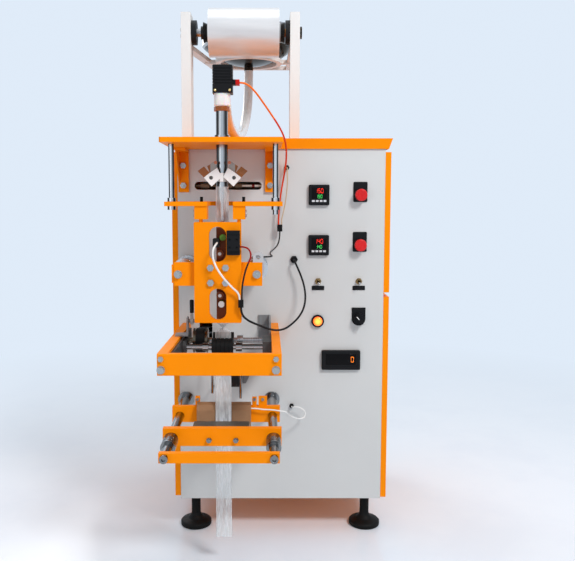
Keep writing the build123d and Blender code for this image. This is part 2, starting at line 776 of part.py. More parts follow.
with BuildPart() as pinch_frame:
    with BuildSketch(Plane.XY.offset(pinch_bottom)):
        with BuildLine():
            Polyline((left_arm_inner_back - 19, y_at(arm_back_reach)),
                     (left_arm_inner_back, y_at(arm_back_reach)),
                     (left_arm_inner_front, y_at(arm_front_reach)),
                     (frame_left, y_at(arm_front_reach)), close=True)
        make_face()
        span(right_arm_inner, frame_right, y_at(arm_back_reach), y_at(arm_front_reach))
    extrude(amount=pinch_top - pinch_bottom)
    with BuildSketch(Plane.YZ.offset(film_x - 110.5)):
        with Locations(*shaft_places):
            Circle(shaft_radius + 0.3)
    extrude(amount=232, mode=Mode.SUBTRACT)
    with BuildSketch(facing(pinch_reach)):
        span(frame_left, frame_right, pinch_bottom, pinch_top)
    extrude(amount=-pinch_plate)
    chamfer(pinch_frame.faces().sort_by(Axis.Y)[0].edges(), 1)
pinch_frame.part.label = "pinch_frame"
export_step(pinch_frame.part, "parts/pinch_frame.step")

roller_left = film_x - roller_length / 2
roller_right = film_x + roller_length / 2
drum_left = film_x - 62.5
drum_right = film_x - 36.5
shaft_left = film_x - 101.5
shaft_right = film_x + 119.5
with BuildPart() as drive_shaft:
    shaft_span(shaft_places[0], shaft_left, shaft_right, shaft_radius)
    shaft_span(shaft_places[0], drum_left, drum_right, drum_radius)
    shaft_span(shaft_places[0], drum_left - 3, drum_left, drum_radius + 3.5)
    shaft_span(shaft_places[0], drum_right, drum_right + 3, drum_radius + 3.5)
    shaft_span(shaft_places[0], film_x + 29.5, film_x + 42.5, 11)
drive_shaft.part.label = "drive_shaft"
export_step(drive_shaft.part, "parts/drive_shaft.step")

with BuildPart() as idler_shaft:
    shaft_span(shaft_places[1], shaft_left, shaft_right, shaft_radius)
    shaft_span(shaft_places[1], film_x + 28.5, film_x + 41.5, 10)
    shaft_span(shaft_places[1], film_x - 42.5, film_x - 30.5, 9)
idler_shaft.part.label = "idler_shaft"
export_step(idler_shaft.part, "parts/idler_shaft.step")

for roller_name, place in zip(("drive_roller", "idler_roller"), shaft_places):
    with BuildPart() as roller:
        with BuildSketch(Plane.YZ.offset(roller_left)):
            with Locations(place):
                Circle(roller_radius)
                Circle(shaft_radius, mode=Mode.SUBTRACT)
        extrude(amount=roller_length)
        # Grooves that keep the film from sliding sideways
        for index in range(4):
            with BuildSketch(Plane.YZ.offset(roller_left + 8 + 9 * index)):
                with Locations(place):
                    Circle(roller_radius + 1)
                    Circle(roller_radius - 1.2, mode=Mode.SUBTRACT)
            extrude(amount=2, mode=Mode.SUBTRACT)
    roller.part.label = roller_name
    export_step(roller.part, f"parts/{roller_name}.step")

motor_place = (y_at(-motor_depth), motor_z)
belt_gap = 0.4
belt_thickness = 2.6
with BuildPart() as drive_belt:
    with BuildSketch(Plane.YZ.offset(drum_left + 3)):
        with BuildSketch(mode=Mode.PRIVATE) as loops:
            with Locations(shaft_places[0]):
                Circle(drum_radius + belt_gap + belt_thickness)
            with Locations(motor_place):
                Circle(motor_pulley_radius + belt_gap + belt_thickness)
            make_hull(loops.edges())
        add(loops.sketch)
        with BuildSketch(mode=Mode.PRIVATE) as inner_loops:
            with Locations(shaft_places[0]):
                Circle(drum_radius + belt_gap)
            with Locations(motor_place):
                Circle(motor_pulley_radius + belt_gap)
            make_hull(inner_loops.edges())
        add(inner_loops.sketch, mode=Mode.SUBTRACT)
    extrude(amount=20)
drive_belt.part.label = "drive_belt"
export_step(drive_belt.part, "parts/drive_belt.step")

with BuildPart() as motor_pulley:
    shaft_span(motor_place, drum_left, drum_right, motor_pulley_radius)
    shaft_span(motor_place, drum_left - 3, drum_left, motor_pulley_radius + 5)
    shaft_span(motor_place, drum_right, drum_right + 3, motor_pulley_radius + 5)
    shaft_span(motor_place, drum_right + 3, drum_right + 20, 6)
motor_pulley.part.label = "motor_pulley"
export_step(motor_pulley.part, "parts/motor_pulley.step")

# Lever that lifts the idler off the film, on a bracket inside the left arm
lever_pivot = (y_at(150), pinch_top + 32)
handle_x = film_x - 67.5
with BuildPart() as release_lever:
    with BuildSketch(Plane.YZ.offset(handle_x - 3)):
        with Locations(lever_pivot):
            Circle(8)
            Circle(4.2, mode=Mode.SUBTRACT)
        span(lever_pivot[0] - 3, lever_pivot[0] + 3, lever_pivot[1] + 6, lever_pivot[1] + 30)
    extrude(amount=6)
    with BuildSketch(Plane.XY.offset(lever_pivot[1] + 18)):
        with Locations((handle_x, lever_pivot[0])):
            Circle(4.6)
    extrude(amount=28)
    fillet(release_lever.faces().sort_by(Axis.Z)[-1].edges(), 2.5)
release_lever.part.label = "release_lever"
export_step(release_lever.part, "parts/release_lever.step")

with BuildPart() as frame_brackets:
    # Bracket and pivot pin of the release lever
    with BuildSketch(Plane.XY.offset(pinch_top)):
        span(handle_x - 35, handle_x - 7, lever_pivot[0] - 12, lever_pivot[0] + 12)
    extrude(amount=4)
    with BuildSketch(Plane.XY.offset(pinch_top + 4)):
        span(handle_x - 11, handle_x - 7, lever_pivot[0] - 10, lever_pivot[0] + 10)
    extrude(amount=36)
    shaft_span(lever_pivot, handle_x - 7, handle_x + 7, 4)
    # Bearing strip inside the left arm and bearing block inside the right arm
    with BuildSketch(Plane.XY.offset(pinch_bottom + 4)):
        with BuildLine():
            Polyline((left_arm_inner_back - 1, y_at(30)), (left_arm_inner_back + 5, y_at(30)),
                     (left_arm_inner_front + 6, y_at(arm_front_reach - 4)),
                     (left_arm_inner_front + 0.2, y_at(arm_front_reach - 4)), close=True)
        make_face()
    extrude(amount=pinch_height - 10)
    for place in shaft_places:
        shaft_span(place, film_x - 85, film_x - 77, 13)
    with BuildSketch(Plane.XY.offset(pinch_bottom + 6)):
        span(right_arm_inner - 19, right_arm_inner, y_at(idler_shaft_reach + 17),
             y_at(drive_shaft_reach - 17))
    extrude(amount=pinch_height - 12)
    with BuildSketch(Plane.YZ.offset(film_x - 102)):
        with Locations(*shaft_places):
            Circle(shaft_radius + 0.3)
    extrude(amount=220, mode=Mode.SUBTRACT)
    # Bearings of the slot roller, behind the panel
    for bearing_x in (slot_left - 7, slot_right + 2):
        with BuildSketch(Plane.YZ.offset(bearing_x)):
            span(y_at(-sheet), y_at(-20), slot_z - 12, slot_z + 12)
            with Locations((y_at(slot_roller_depth), slot_z)):
                Circle(3.3, mode=Mode.SUBTRACT)
        extrude(amount=5)
    # Grey angle that stiffens the right arm
    with BuildSketch(Plane.XY.offset(pinch_bottom)):
        span(right_arm_inner - 29, right_arm_inner, y_at(4), y_at(0))
        span(right_arm_inner - 4, right_arm_inner, y_at(100), y_at(0))
    extrude(amount=62)
    # Black air cylinder low behind the film, with its diagonal stay
    with BuildSketch(facing(12)):
        span(film_x + 11.5, film_x + 30, 372, 440)
    extrude(amount=28)
    with BuildSketch(facing(0)):
        span(film_x + 15.5, film_x + 25.5, 376, 386)
        span(film_x + 15.5, film_x + 25.5, 424, 434)
    extrude(amount=12)
    with BuildSketch(facing(0)):
        with BuildLine():
            Polyline((film_x + 37.5, 372), (film_x + 45.5, 372), (film_x + 77.5, 440),
                     (film_x + 37.5, 440), close=True)
        make_face()
    extrude(amount=8)
frame_brackets.part.label = "frame_brackets"
export_step(frame_brackets.part, "parts/frame_brackets.step")

# Cross jaws
rod_places = [(jaw_rod_left, jaw_rod_z), (jaw_rod_right, jaw_rod_z)]
jaw_left = jaw_rod_left - 16.5
jaw_right = jaw_rod_right + 16.5
jaw_bottom = 317.5
jaw_top = jaw_bottom + jaw_plate_height
jaw_plate = 12.0
yoke_depth = 150.0
yoke_thickness = 14.0

with BuildPart() as jaw_sleeves:
    discs(facing(0), rod_places, 12.5, rear_jaw_reach - jaw_plate)
    discs(facing(0), rod_places, 19, 5)
    discs(facing(0), rod_places, jaw_rod_radius + 0.3, rear_jaw_reach, mode=Mode.SUBTRACT)
jaw_sleeves.part.label = "jaw_sleeves"
export_step(jaw_sleeves.part, "parts/jaw_sleeves.step")

with BuildPart() as rear_jaw_plate:
    with BuildSketch(facing(rear_jaw_reach)):
        span(jaw_left, jaw_right, jaw_bottom, jaw_top)
        with Locations(*rod_places):
            Circle(jaw_rod_radius + 0.3, mode=Mode.SUBTRACT)
    extrude(amount=-jaw_plate)
    # Tabs on the top edge for the wires of the heater
    with BuildSketch(facing(rear_jaw_reach - 2)):
        span(film_x - 63.5, film_x - 53.5, jaw_top, jaw_top + 22)
        span(film_x + 62.5, film_x + 72.5, jaw_top, jaw_top + 20)
        span(film_x + 76.5, film_x + 95.5, jaw_top, jaw_top + 22)
    extrude(amount=-6)
rear_jaw_plate.part.label = "rear_jaw_plate"
export_step(rear_jaw_plate.part, "parts/rear_jaw_plate.step")

heater_left = film_x - 59
heater_right = film_x + 60
with BuildPart() as heater_jaw:
    with BuildSketch(Plane.YZ.offset(heater_left)):
        with BuildLine():
            Polyline((y_at(rear_jaw_reach), 313), (y_at(146), 313), (y_at(151), 324),
                     (y_at(151), 350), (y_at(145), 361), (y_at(rear_jaw_reach), 364),
                     close=True)
        make_face()
    extrude(amount=heater_right - heater_left)
    fillet(heater_jaw.edges().filter_by(Axis.X).group_by(Axis.Y)[0], 3)
heater_jaw.part.label = "heater_jaw"
export_step(heater_jaw.part, "parts/heater_jaw.step")

with BuildPart() as jaw_rods:
    discs(facing(end_bar_reach - jaw_plate), rod_places, jaw_rod_radius,
          -(end_bar_reach - jaw_plate + yoke_depth))
    # Threaded sleeves that clamp the front plate on the rods
    discs(facing(front_jaw_reach), rod_places, 15, 48)
    for groove in (6, 14, 22, 30, 38):
        with BuildSketch(facing(front_jaw_reach + groove)):
            with Locations(*rod_places):
                Circle(16)
                Circle(13.4, mode=Mode.SUBTRACT)
        extrude(amount=2.5, mode=Mode.SUBTRACT)
    # Yoke inside the cabinet and the piston rod that pulls it
    with BuildSketch(facing(-yoke_depth)):
        span(jaw_rod_left - 14, jaw_rod_right + 14, jaw_rod_z - 15, jaw_rod_z + 15)
    extrude(amount=-yoke_thickness)
    discs(facing(-yoke_depth), [((jaw_rod_left + jaw_rod_right) / 2, jaw_rod_z)], 6, 116)
    # Dome nuts of the spring pins, and the screws in the end bar
    pin_places = [(film_x - 22, jaw_rod_z - 1), (film_x + 32, jaw_rod_z - 1)]
    hex_heads(facing(front_jaw_reach), pin_places, 10, 4)
    discs(facing(front_jaw_reach + 4), pin_places, 4, 3)
    discs(facing(end_bar_reach), rod_places, 8, 7.9)
    discs(facing(end_bar_reach + 7.9), rod_places, 4, -4, mode=Mode.SUBTRACT)
jaw_rods.part.label = "jaw_rods"
export_step(jaw_rods.part, "parts/jaw_rods.step")

with BuildPart() as front_jaw_plates:
    with BuildSketch(facing(front_jaw_reach)):
        span(jaw_left, jaw_right, jaw_bottom, jaw_top)
        with Locations(*rod_places):
            Circle(jaw_rod_radius + 0.2, mode=Mode.SUBTRACT)
    extrude(amount=-15)
    with BuildSketch(facing(end_bar_reach)):
        span(jaw_left + 6, jaw_right - 6, jaw_rod_z - 9.5, jaw_rod_z + 9.5)
    extrude(amount=-jaw_plate)
front_jaw_plates.part.label = "front_jaw_plates"
export_step(front_jaw_plates.part, "parts/front_jaw_plates.step")

with BuildPart() as counter_jaw:
    with BuildSketch(facing(front_jaw_reach - 15)):
        span(heater_left + 2, heater_right - 2, 322, 350)
    extrude(amount=-42)
    with BuildSketch(facing(front_jaw_reach - 57)):
        span(heater_left + 2, heater_right - 2, 327, 345)
    extrude(amount=-8)
    fillet(counter_jaw.faces().sort_by(Axis.Y)[-1].edges(), 2.5)
counter_jaw.part.label = "counter_jaw"
export_step(counter_jaw.part, "parts/counter_jaw.step")

# Film and roll
film_bottom = 62.0
film_tube_top = 838.0
film_neck_z = 545.0
with BuildPart() as film_tube:
    with BuildSketch(Plane.XY.offset(film_neck_z)):
        with Locations((film_x, film_y)):
            Circle(fill_tube_radius + 1.6)
    extrude(amount=film_tube_top - film_neck_z)
    with BuildSketch(Plane.XY.offset(film_neck_z)):
        with Locations((film_x, film_y)):
            Circle(fill_tube_radius + 1.6)
    with BuildSketch(Plane.XY.offset(film_neck_z - 22)):
        with Locations((film_x, film_y)):
            Rectangle(36, 1.4)
    loft()
    with BuildSketch(Plane.XY.offset(film_bottom)):
        with Locations((film_x, film_y)):
            Rectangle(36, 1.4)
    extrude(amount=film_neck_z - 22 - film_bottom)
    with BuildSketch(Plane.XY.offset(fill_tube_bottom - 0.5)):
        with Locations((film_x, film_y)):
            Circle(fill_tube_radius + 0.3)
    extrude(amount=film_tube_top - fill_tube_bottom + 1, mode=Mode.SUBTRACT)
film_tube.part.label = "film_tube"
export_step(film_tube.part, "parts/film_tube.step")

post_y = panel_y + post_set_back + post_depth / 2
tank_y = panel_y + tank_set_back
post_inner_left = post_left + post_width / 2
post_inner_right = post_right - post_width / 2
arm_z = 1187.0
arm_thickness = 11.0
ring_z = 1183.0
shelf_end_y = panel_y + 462.0
with BuildPart() as roll_stand:
    with BuildSketch(Plane.XY.offset(cap_top_z)):
        with Locations((post_left, post_y), (post_right, post_y)):
            Rectangle(post_width, post_depth)
    extrude(amount=post_height)
    # Arms that reach back from the posts to carry the tank
    with BuildSketch(Plane.XY.offset(arm_z)):
        with BuildLine():
            Polyline((post_left - 10, post_y + 20), (post_inner_left, post_y + 20),
                     (film_x - 39.5, shelf_end_y), (film_x - 59.5, shelf_end_y), close=True)
        make_face()
        span(post_inner_right, post_inner_right + 20, post_y + 20, shelf_end_y)
        span(film_x - 59.5, post_inner_right + 20, shelf_end_y - 10, shelf_end_y)
    extrude(amount=arm_thickness)
    # Ring under the dished bottom
    with BuildSketch(Plane.XY.offset(ring_z)):
        with Locations((tank_x, tank_y)):
            Circle(92)
            Circle(78, mode=Mode.SUBTRACT)
    extrude(amount=arm_thickness)
    with BuildSketch(Plane.XY.offset(ring_z)):
        span(tank_x - 122, tank_x - 89, tank_y - 8, tank_y + 8)
        span(tank_x + 91, tank_x + 117, tank_y - 8, tank_y + 8)
        span(tank_x - 8, tank_x + 8, tank_y + 90, shelf_end_y)
    extrude(amount=arm_thickness)
roll_stand.part.label = "roll_stand"
export_step(roll_stand.part, "parts/roll_stand.step")

roll_place = (post_y, roll_axis_z)
with BuildPart() as roll_bearings:
    shaft_span(roll_place, post_inner_left, post_inner_left + 13, 30)
    shaft_span(roll_place, post_inner_right - 11, post_inner_right, 30)
    with BuildSketch(Plane.YZ.offset(post_inner_left - 1)):
        with Locations(roll_place):
            Circle(10.4)
    extrude(amount=300, mode=Mode.SUBTRACT)
roll_bearings.part.label = "roll_bearings"
export_step(roll_bearings.part, "parts/roll_bearings.step")

with BuildPart() as roll_arbor:
    shaft_span(roll_place, post_inner_left + 1, post_inner_right - 1, 10)
    for cone_base, cone_tip in ((roll_left - 14, roll_left + 12), (roll_right + 14, roll_right - 12)):
        with BuildSketch(Plane.YZ.offset(cone_base)):
            with Locations(roll_place):
                Circle(26)
        with BuildSketch(Plane.YZ.offset(cone_tip)):
            with Locations(roll_place):
                Circle(14)
        loft()
    shaft_span(roll_place, roll_left - 20, roll_left - 14, 16)
roll_arbor.part.label = "roll_arbor"
export_step(roll_arbor.part, "parts/roll_arbor.step")

with BuildPart() as film_roll:
    shaft_span(roll_place, roll_left, roll_right, roll_radius)
    shaft_span(roll_place, roll_left - 4, roll_right + 4, 24)
    with BuildSketch(Plane.YZ.offset(roll_left - 5)):
        with Locations(roll_place):
            Circle(21.6)
    extrude(amount=roll_right - roll_left + 10, mode=Mode.SUBTRACT)
film_roll.part.label = "film_roll"
export_step(film_roll.part, "parts/film_roll.step")

tank_top_z = tank_bottom_z + tank_height
tank_wall = 1.5
dish_radius = 185.0
inner_radius = tank_radius - tank_wall
dish_depth = dish_radius - (dish_radius**2 - tank_radius**2) ** 0.5
inner_dish = dish_radius - ((dish_radius - tank_wall) ** 2 - inner_radius**2) ** 0.5
spigot_length = 12.0
with BuildPart() as tank:
    with BuildSketch(Plane.XZ.offset(-tank_y)) as tank_profile:
        with BuildLine():
            outside = RadiusArc((tank_x, tank_bottom_z),
                                (tank_x + tank_radius, tank_bottom_z + dish_depth), -dish_radius)
            rim = Polyline(outside @ 1, (tank_x + tank_radius, tank_top_z - 3),
                           (tank_x + tank_radius + tank_rim, tank_top_z - 3),
                           (tank_x + tank_radius + tank_rim, tank_top_z),
                           (tank_x + inner_radius, tank_top_z),
                           (tank_x + inner_radius, tank_bottom_z + inner_dish))
            inside = RadiusArc((tank_x, tank_bottom_z + tank_wall), rim @ 1,
                               tank_wall - dish_radius)
            Line(inside @ 0, outside @ 0)
        make_face()
    revolve(axis=Axis((tank_x, tank_y, 0), (0, 0, 1)))
    # Outlet spigot
    with BuildSketch(Plane.XY.offset(tank_bottom_z - spigot_length)):
        with Locations((tank_x, tank_y)):
            Circle(hose_radius)
            Circle(8, mode=Mode.SUBTRACT)
    extrude(amount=spigot_length + 0.6)
    with BuildSketch(Plane.XY.offset(tank_bottom_z - spigot_length)):
        with Locations((tank_x, tank_y)):
            Circle(8)
    extrude(amount=spigot_length + 6, mode=Mode.SUBTRACT)
tank.part.label = "tank"
export_step(tank.part, "parts/tank.step")

# Hose and cables
splice_x = film_x + 125.5
splice_reach = 18.0
splice_low = 736.0
splice_high = 752.0
joint_low = 590.0
joint_high = 606.0
with BuildPart() as cable_sleeves:
    # Sleeve where the valve's cable meets the wire from the panel
    with BuildSketch(Plane.XY.offset(splice_low)):
        with Locations((splice_x, y_at(splice_reach))):
            RectangleRounded(12, 9, 3)
    extrude(amount=splice_high - splice_low)
    # Sleeve where the two leads of the vertical sealer come together
    with BuildSketch(Plane.XY.offset(joint_low)):
        with Locations((film_x + 41, y_at(224))):
            RectangleRounded(11, 7, 3)
    extrude(amount=joint_high - joint_low)
cable_sleeves.part.label = "cable_sleeves"
export_step(cable_sleeves.part, "parts/cable_sleeves.step")


def along(*places):
    """Route of a cord from places given as distance right of the film, reach in front of the
    panel and height."""
    return [(film_x + out, y_at(reach), z) for out, reach, z in places]


hose_end = film_reach - 14 - inlet_length * cos(inlet_slope)
hose_end_z = 1020 - inlet_length * sin(inlet_slope)
make_cord("hose", along(
    (tank_offset, -tank_set_back, tank_bottom_z - spigot_length),
    (tank_offset, -tank_set_back, 1078),
    (34.5, 87 - tank_set_back, 992), (23.5, -150, 966), (15.5, -35, 966),
    (6, hose_end - 60 * cos(inlet_slope), hose_end_z - 60 * sin(inlet_slope)),
    (6, hose_end, hose_end_z)), hose_radius)
make_cord("valve_cable", along(
    (37.5, 154, 1054), (50.5, 154, 1054), (68.5, 147, 1039), (85.5, 132, 1018), (103.5, 111, 995),
    (120.5, 86, 973), (133.5, 60, 952), (139.5, 36, 929), (140.5, 20, 904), (137.5, 14, 878),
    (132.5, 12, 850), (127.5, 12, 822), (124.5, 14, 794), (122.5, splice_reach, 771),
    (122.5, splice_reach, splice_high)), 2.0)
make_cord("gland_wire", along(
    (129.5, splice_reach, splice_high), (129.5, splice_reach, 764), (134.5, 16, 782),
    (138.5, 16, 803), (141.5, 18, 826), (143, 22, 848), (142.7, 25, 868), (142, 20, 884),
    (142, 8, 884)), 1.3)
make_cord("clamp_cable", along(
    (125.5, splice_reach, splice_low), (125.5, splice_reach, 722), (121.5, 30, 707),
    (114.5, 55, 700), (107.5, 84, 697), (102.5, 115, 695), (101.5, 146, 693),
    (106.5, 174, 692.2), (102.5, 197, 692.2), (87.5, 197, 692.2)), 1.6)
make_cord("heater_lead", along(
    (-8, 213, 722), (-8, 228, 722), (-15, 238, 711), (-15, 239, 691), (-6, 236, 669),
    (8, 232, 649), (23, 228, 632), (38.5, 224, 618), (38.5, 224, joint_high)), 2.0)
make_cord("sealer_lead", along(
    (39.5, 224, 715), (52, 224, 715), (61, 226, 706), (62, 227, 693), (55, 229, 679),
    (49, 229, 661), (45, 227, 641), (43, 224, 623), (43, 224, joint_high)), 1.8)
make_cord("sealer_cable", along(
    (41.5, 224, joint_low), (41.5, 224, 576), (54.5, 208, 560), (73.5, 188, 548), (93.5, 167, 536),
    (113.5, 148, 527), (133.5, 128, 526), (150.5, 106, 533), (167.5, 84, 545), (180.5, 61, 562),
    (185.5, 40, 585), (182.5, 28, 611), (174.5, 22, 635), (165.5, 22, 655), (159.5, 20, 669),
    (159.5, 8, 669)), 2.3)
make_cord("jaw_leads", along(
    (60, 142, 352), (71.5, 142, 352), (87.5, 144, 350), (107.5, 143, 349), (126.5, 142, 346),
    (137.5, 129, 340), (142.5, 107, 329), (150.5, 82, 315), (162.5, 57, 302),
    (175.5, 35, 293), (186.5, 21, 294), (187.5, 18, 306), (175.5, 18, 316), (161.5, 19, 318),
    (155.5, 17, 315), (155.5, 8, 315)), 1.5)

# Fasteners
with BuildPart() as fasteners:
    bracket_screws = [(left + 11.5, z) for left in bracket_lefts for z in (842.5, 888.5)]
    hex_heads(facing(6), bracket_screws, 13, 5.3)
    discs(facing(11.3), bracket_screws, 3, 2)
    sealer_screws = [(film_x + out, seal_rod_z + up) for out in (-21.5, 9.5) for up in (-16, 15)]
    hex_heads(facing(sealer_reach), sealer_screws, 13, 5.3)
    discs(facing(cross_plate_reach), seal_rod_places, 8.5, 1.6)
    hex_heads(facing(cross_plate_reach + 1.6), seal_rod_places, 13, 5.3)
    pinch_screw_x = (frame_left + 7.5, frame_right - 11)
    hex_heads(facing(pinch_reach), [(x, pinch_top - 9.5) for x in pinch_screw_x], 10, 4)
    pinch_bolts = [(x, pinch_top - 31) for x in pinch_screw_x]
    discs(facing(pinch_reach), pinch_bolts, 8, 1.5)
    hex_heads(facing(pinch_reach + 1.5), pinch_bolts, 13, 6)
    discs(facing(rear_jaw_reach - 2), [(film_x + out, 369) for out in (-58.5, 67.5, 86)], 3.5, 3)
    # Studs on the second plate
    with BuildSketch(Plane.XY.offset(second_plate_z + second_plate_thickness)):
        with Locations((film_x - 40, y_at(205)), (film_x + 47, y_at(205))):
            Circle(3.5)
    extrude(amount=10)
    # Screws in the sides of the clamp blocks
    for side_x in (clamp_blocks[0][0], clamp_blocks[1][1] + 3):
        with BuildSketch(Plane.YZ.offset(side_x - 3)):
            with Locations((y_at(200), second_plate_z - 10), (y_at(200), second_plate_z - 20)):
                Circle(2.6)
        extrude(amount=3)
    # Nuts of the roll stand
    with BuildSketch(Plane.YZ.offset(post_left - post_width / 2 - 4)):
        with Locations((post_y, roll_axis_z + 8), (post_y, roll_axis_z - 8)):
            RegularPolygon(5, 6)
    extrude(amount=4)
    with BuildSketch(Plane.YZ.offset(post_right + post_width / 2)):
        with Locations(roll_place):
            Circle(15)
    extrude(amount=6)
fasteners.part.label = "fasteners"
export_step(fasteners.part, "parts/fasteners.step")

# Inside of the cabinet
jaw_mid = (jaw_rod_left + jaw_rod_right) / 2
motor_left = drum_right + 20.3
with BuildPart() as cabinet_contents:
    # Air cylinder that works the front jaw
    discs(facing(-sheet), [(jaw_mid, jaw_rod_z)], 25, 10 - yoke_depth + sheet)
    discs(facing(-30), [(jaw_mid, jaw_rod_z)], 6.3, -yoke_depth, mode=Mode.SUBTRACT)
    # Geared motor on its pedestal
    shaft_span(motor_place, motor_left, motor_left + 46, 38)
    shaft_span(motor_place, motor_left + 46, motor_left + 140, 42)
    with BuildSketch(Plane.XY.offset(panel_bottom + sheet)):
        with Locations((film_x + 59.5, y_at(-motor_depth))):
            Rectangle(46, 30)
            Rectangle(38, 22, mode=Mode.SUBTRACT)
    extrude(amount=motor_z - 41 - panel_bottom - sheet)
    # Mounting plate with power supply, relays and valves
    with BuildSketch(Plane.YZ.offset(mid_rail_x + 4)):
        span(panel_y + 60, panel_y + 370, panel_bottom + sheet + frame_tube,
             rail_top - frame_tube)
    extrude(amount=3)
    with BuildSketch(Plane.YZ.offset(mid_rail_x + 7)):
        span(panel_y + 120, panel_y + 220, 700, 860)
        span(panel_y + 250, panel_y + 330, 720, 850)
        for index in range(5):
            span(panel_y + 110 + 30 * index, panel_y + 132 + 30 * index, 520, 600)
        span(panel_y + 110, panel_y + 320, 300, 350)
    extrude(amount=48)
cabinet_contents.part.label = "cabinet_contents"
export_step(cabinet_contents.part, "parts/cabinet_contents.step")
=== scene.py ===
"""Looks of the pouch packing machine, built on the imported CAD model."""

import math

import bmesh
import bpy
from mathutils import Matrix, Vector, noise


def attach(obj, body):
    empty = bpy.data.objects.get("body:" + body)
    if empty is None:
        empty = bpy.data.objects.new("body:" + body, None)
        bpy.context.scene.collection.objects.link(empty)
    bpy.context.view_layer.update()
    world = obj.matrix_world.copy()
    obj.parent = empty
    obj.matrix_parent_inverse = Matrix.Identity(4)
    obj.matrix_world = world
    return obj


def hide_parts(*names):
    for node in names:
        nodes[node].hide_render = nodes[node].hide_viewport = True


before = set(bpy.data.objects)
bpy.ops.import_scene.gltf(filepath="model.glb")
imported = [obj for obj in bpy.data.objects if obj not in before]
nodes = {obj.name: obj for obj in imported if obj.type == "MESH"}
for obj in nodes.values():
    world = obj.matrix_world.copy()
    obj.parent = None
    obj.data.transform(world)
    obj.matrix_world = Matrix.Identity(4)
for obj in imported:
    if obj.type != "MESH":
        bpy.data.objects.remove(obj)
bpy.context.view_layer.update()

scene = bpy.context.scene

PANEL_Y = -0.043
FILM_X = -0.1295


def at(x, reach, z):
    """Point given in millimetres: across, in front of the panel, and up."""
    return Vector((x / 1000, PANEL_Y - reach / 1000, z / 1000))


# Camera
camera_data = bpy.data.cameras.new("camera")
camera_data.sensor_width = 36
camera_data.lens = 43.83
camera_data.shift_x = 0.0426
camera_data.shift_y = -0.0292
camera_data.clip_start = 0.05
camera = bpy.data.objects.new("camera", camera_data)
camera.location = at(-43, 1648, 818)
camera.rotation_euler = (math.radians(90 - 5.52), 0, 0)
scene.collection.objects.link(camera)
scene.camera = camera


# Materials
class Look:
    """Small helper for building one procedural material."""

    def __init__(self, name):
        self.material = bpy.data.materials.new(name)
        self.material.use_nodes = True
        self.tree = self.material.node_tree
        self.tree.nodes.clear()
        self.output = self.tree.nodes.new("ShaderNodeOutputMaterial")
        self.place = self.tree.nodes.new("ShaderNodeTexCoord").outputs["Object"]

    def node(self, kind, **sockets):
        made = self.tree.nodes.new(kind)
        for name, value in sockets.items():
            self.feed(made.inputs[name.replace("_", " ")], value)
        return made

    def feed(self, socket, value):
        if isinstance(value, bpy.types.NodeSocket):
            self.tree.links.new(value, socket)
        else:
            socket.default_value = value

    def math(self, operation, first, second=0.0, third=0.0):
        made = self.tree.nodes.new("ShaderNodeMath")
        made.operation = operation
        for socket, value in zip(made.inputs, (first, second, third)):
            self.feed(socket, value)
        return made.outputs[0]

    def mapped(self, scale, offset=(0, 0, 0)):
        made = self.node("ShaderNodeMapping", Vector=self.place)
        made.inputs["Scale"].default_value = scale
        made.inputs["Location"].default_value = offset
        return made.outputs["Vector"]

    def speckle(self, scale, detail=3.0, rough=0.55, vector=None):
        made = self.node("ShaderNodeTexNoise", Scale=scale, Detail=detail, Roughness=rough)
        self.feed(made.inputs["Vector"], vector if vector is not None else self.place)
        return made.outputs["Fac"]

    def spread(self, value, low, high, to_low, to_high):
        made = self.node("ShaderNodeMapRange", Value=value)
        for name, number in (("From Min", low), ("From Max", high),
                             ("To Min", to_low), ("To Max", to_high)):
            made.inputs[name].default_value = number
        return made.outputs["Result"]

    def blend(self, factor, first, second, mode="MIX"):
        made = self.tree.nodes.new("ShaderNodeMix")
        made.data_type = "RGBA"
        made.blend_type = mode
        self.feed(made.inputs["Factor"], factor)
        for socket, value in ((made.inputs[6], first), (made.inputs[7], second)):
            self.feed(socket, value if isinstance(value, bpy.types.NodeSocket)
                      else (*value, 1.0)[:4])
        return made.outputs[2]

    def axis(self, index):
        made = self.node("ShaderNodeSeparateXYZ", Vector=self.place)
        return made.outputs[index]

    def inside(self, low, high):
        """1 inside a box of the row frame, given in metres, and 0 outside."""
        split = self.node("ShaderNodeSeparateXYZ", Vector=self.place)
        mask = None
        for index in range(3):
            for limit, test in ((low[index], "GREATER_THAN"), (high[index], "LESS_THAN")):
                if limit is None:
                    continue
                step = self.math(test, split.outputs[index], limit)
                mask = step if mask is None else self.math("MULTIPLY", mask, step)
        return mask

    def bump(self, height, strength=0.3, distance=0.0004, normal=None):
        made = self.node("ShaderNodeBump", Strength=strength, Distance=distance, Height=height)
        if normal is not None:
            self.feed(made.inputs["Normal"], normal)
        return made.outputs["Normal"]

    def rounded(self, radius):
        made = self.tree.nodes.new("ShaderNodeBevel")
        made.samples = 4
        made.inputs["Radius"].default_value = radius
        return made.outputs["Normal"]

    def principled(self, **sockets):
        made = self.tree.nodes.new("ShaderNodeBsdfPrincipled")
        for name, value in sockets.items():
            self.feed(made.inputs[name.replace("_", " ")], value)
        return made

    def finish(self, shader):
        self.tree.links.new(shader.outputs[0], self.output.inputs["Surface"])
        return self.material


def zoned(look, colour, zones):
    """Colour that changes inside boxes of the row frame."""
    for low, high, other in zones:
        colour = look.blend(look.inside(low, high), colour, other)
    return colour


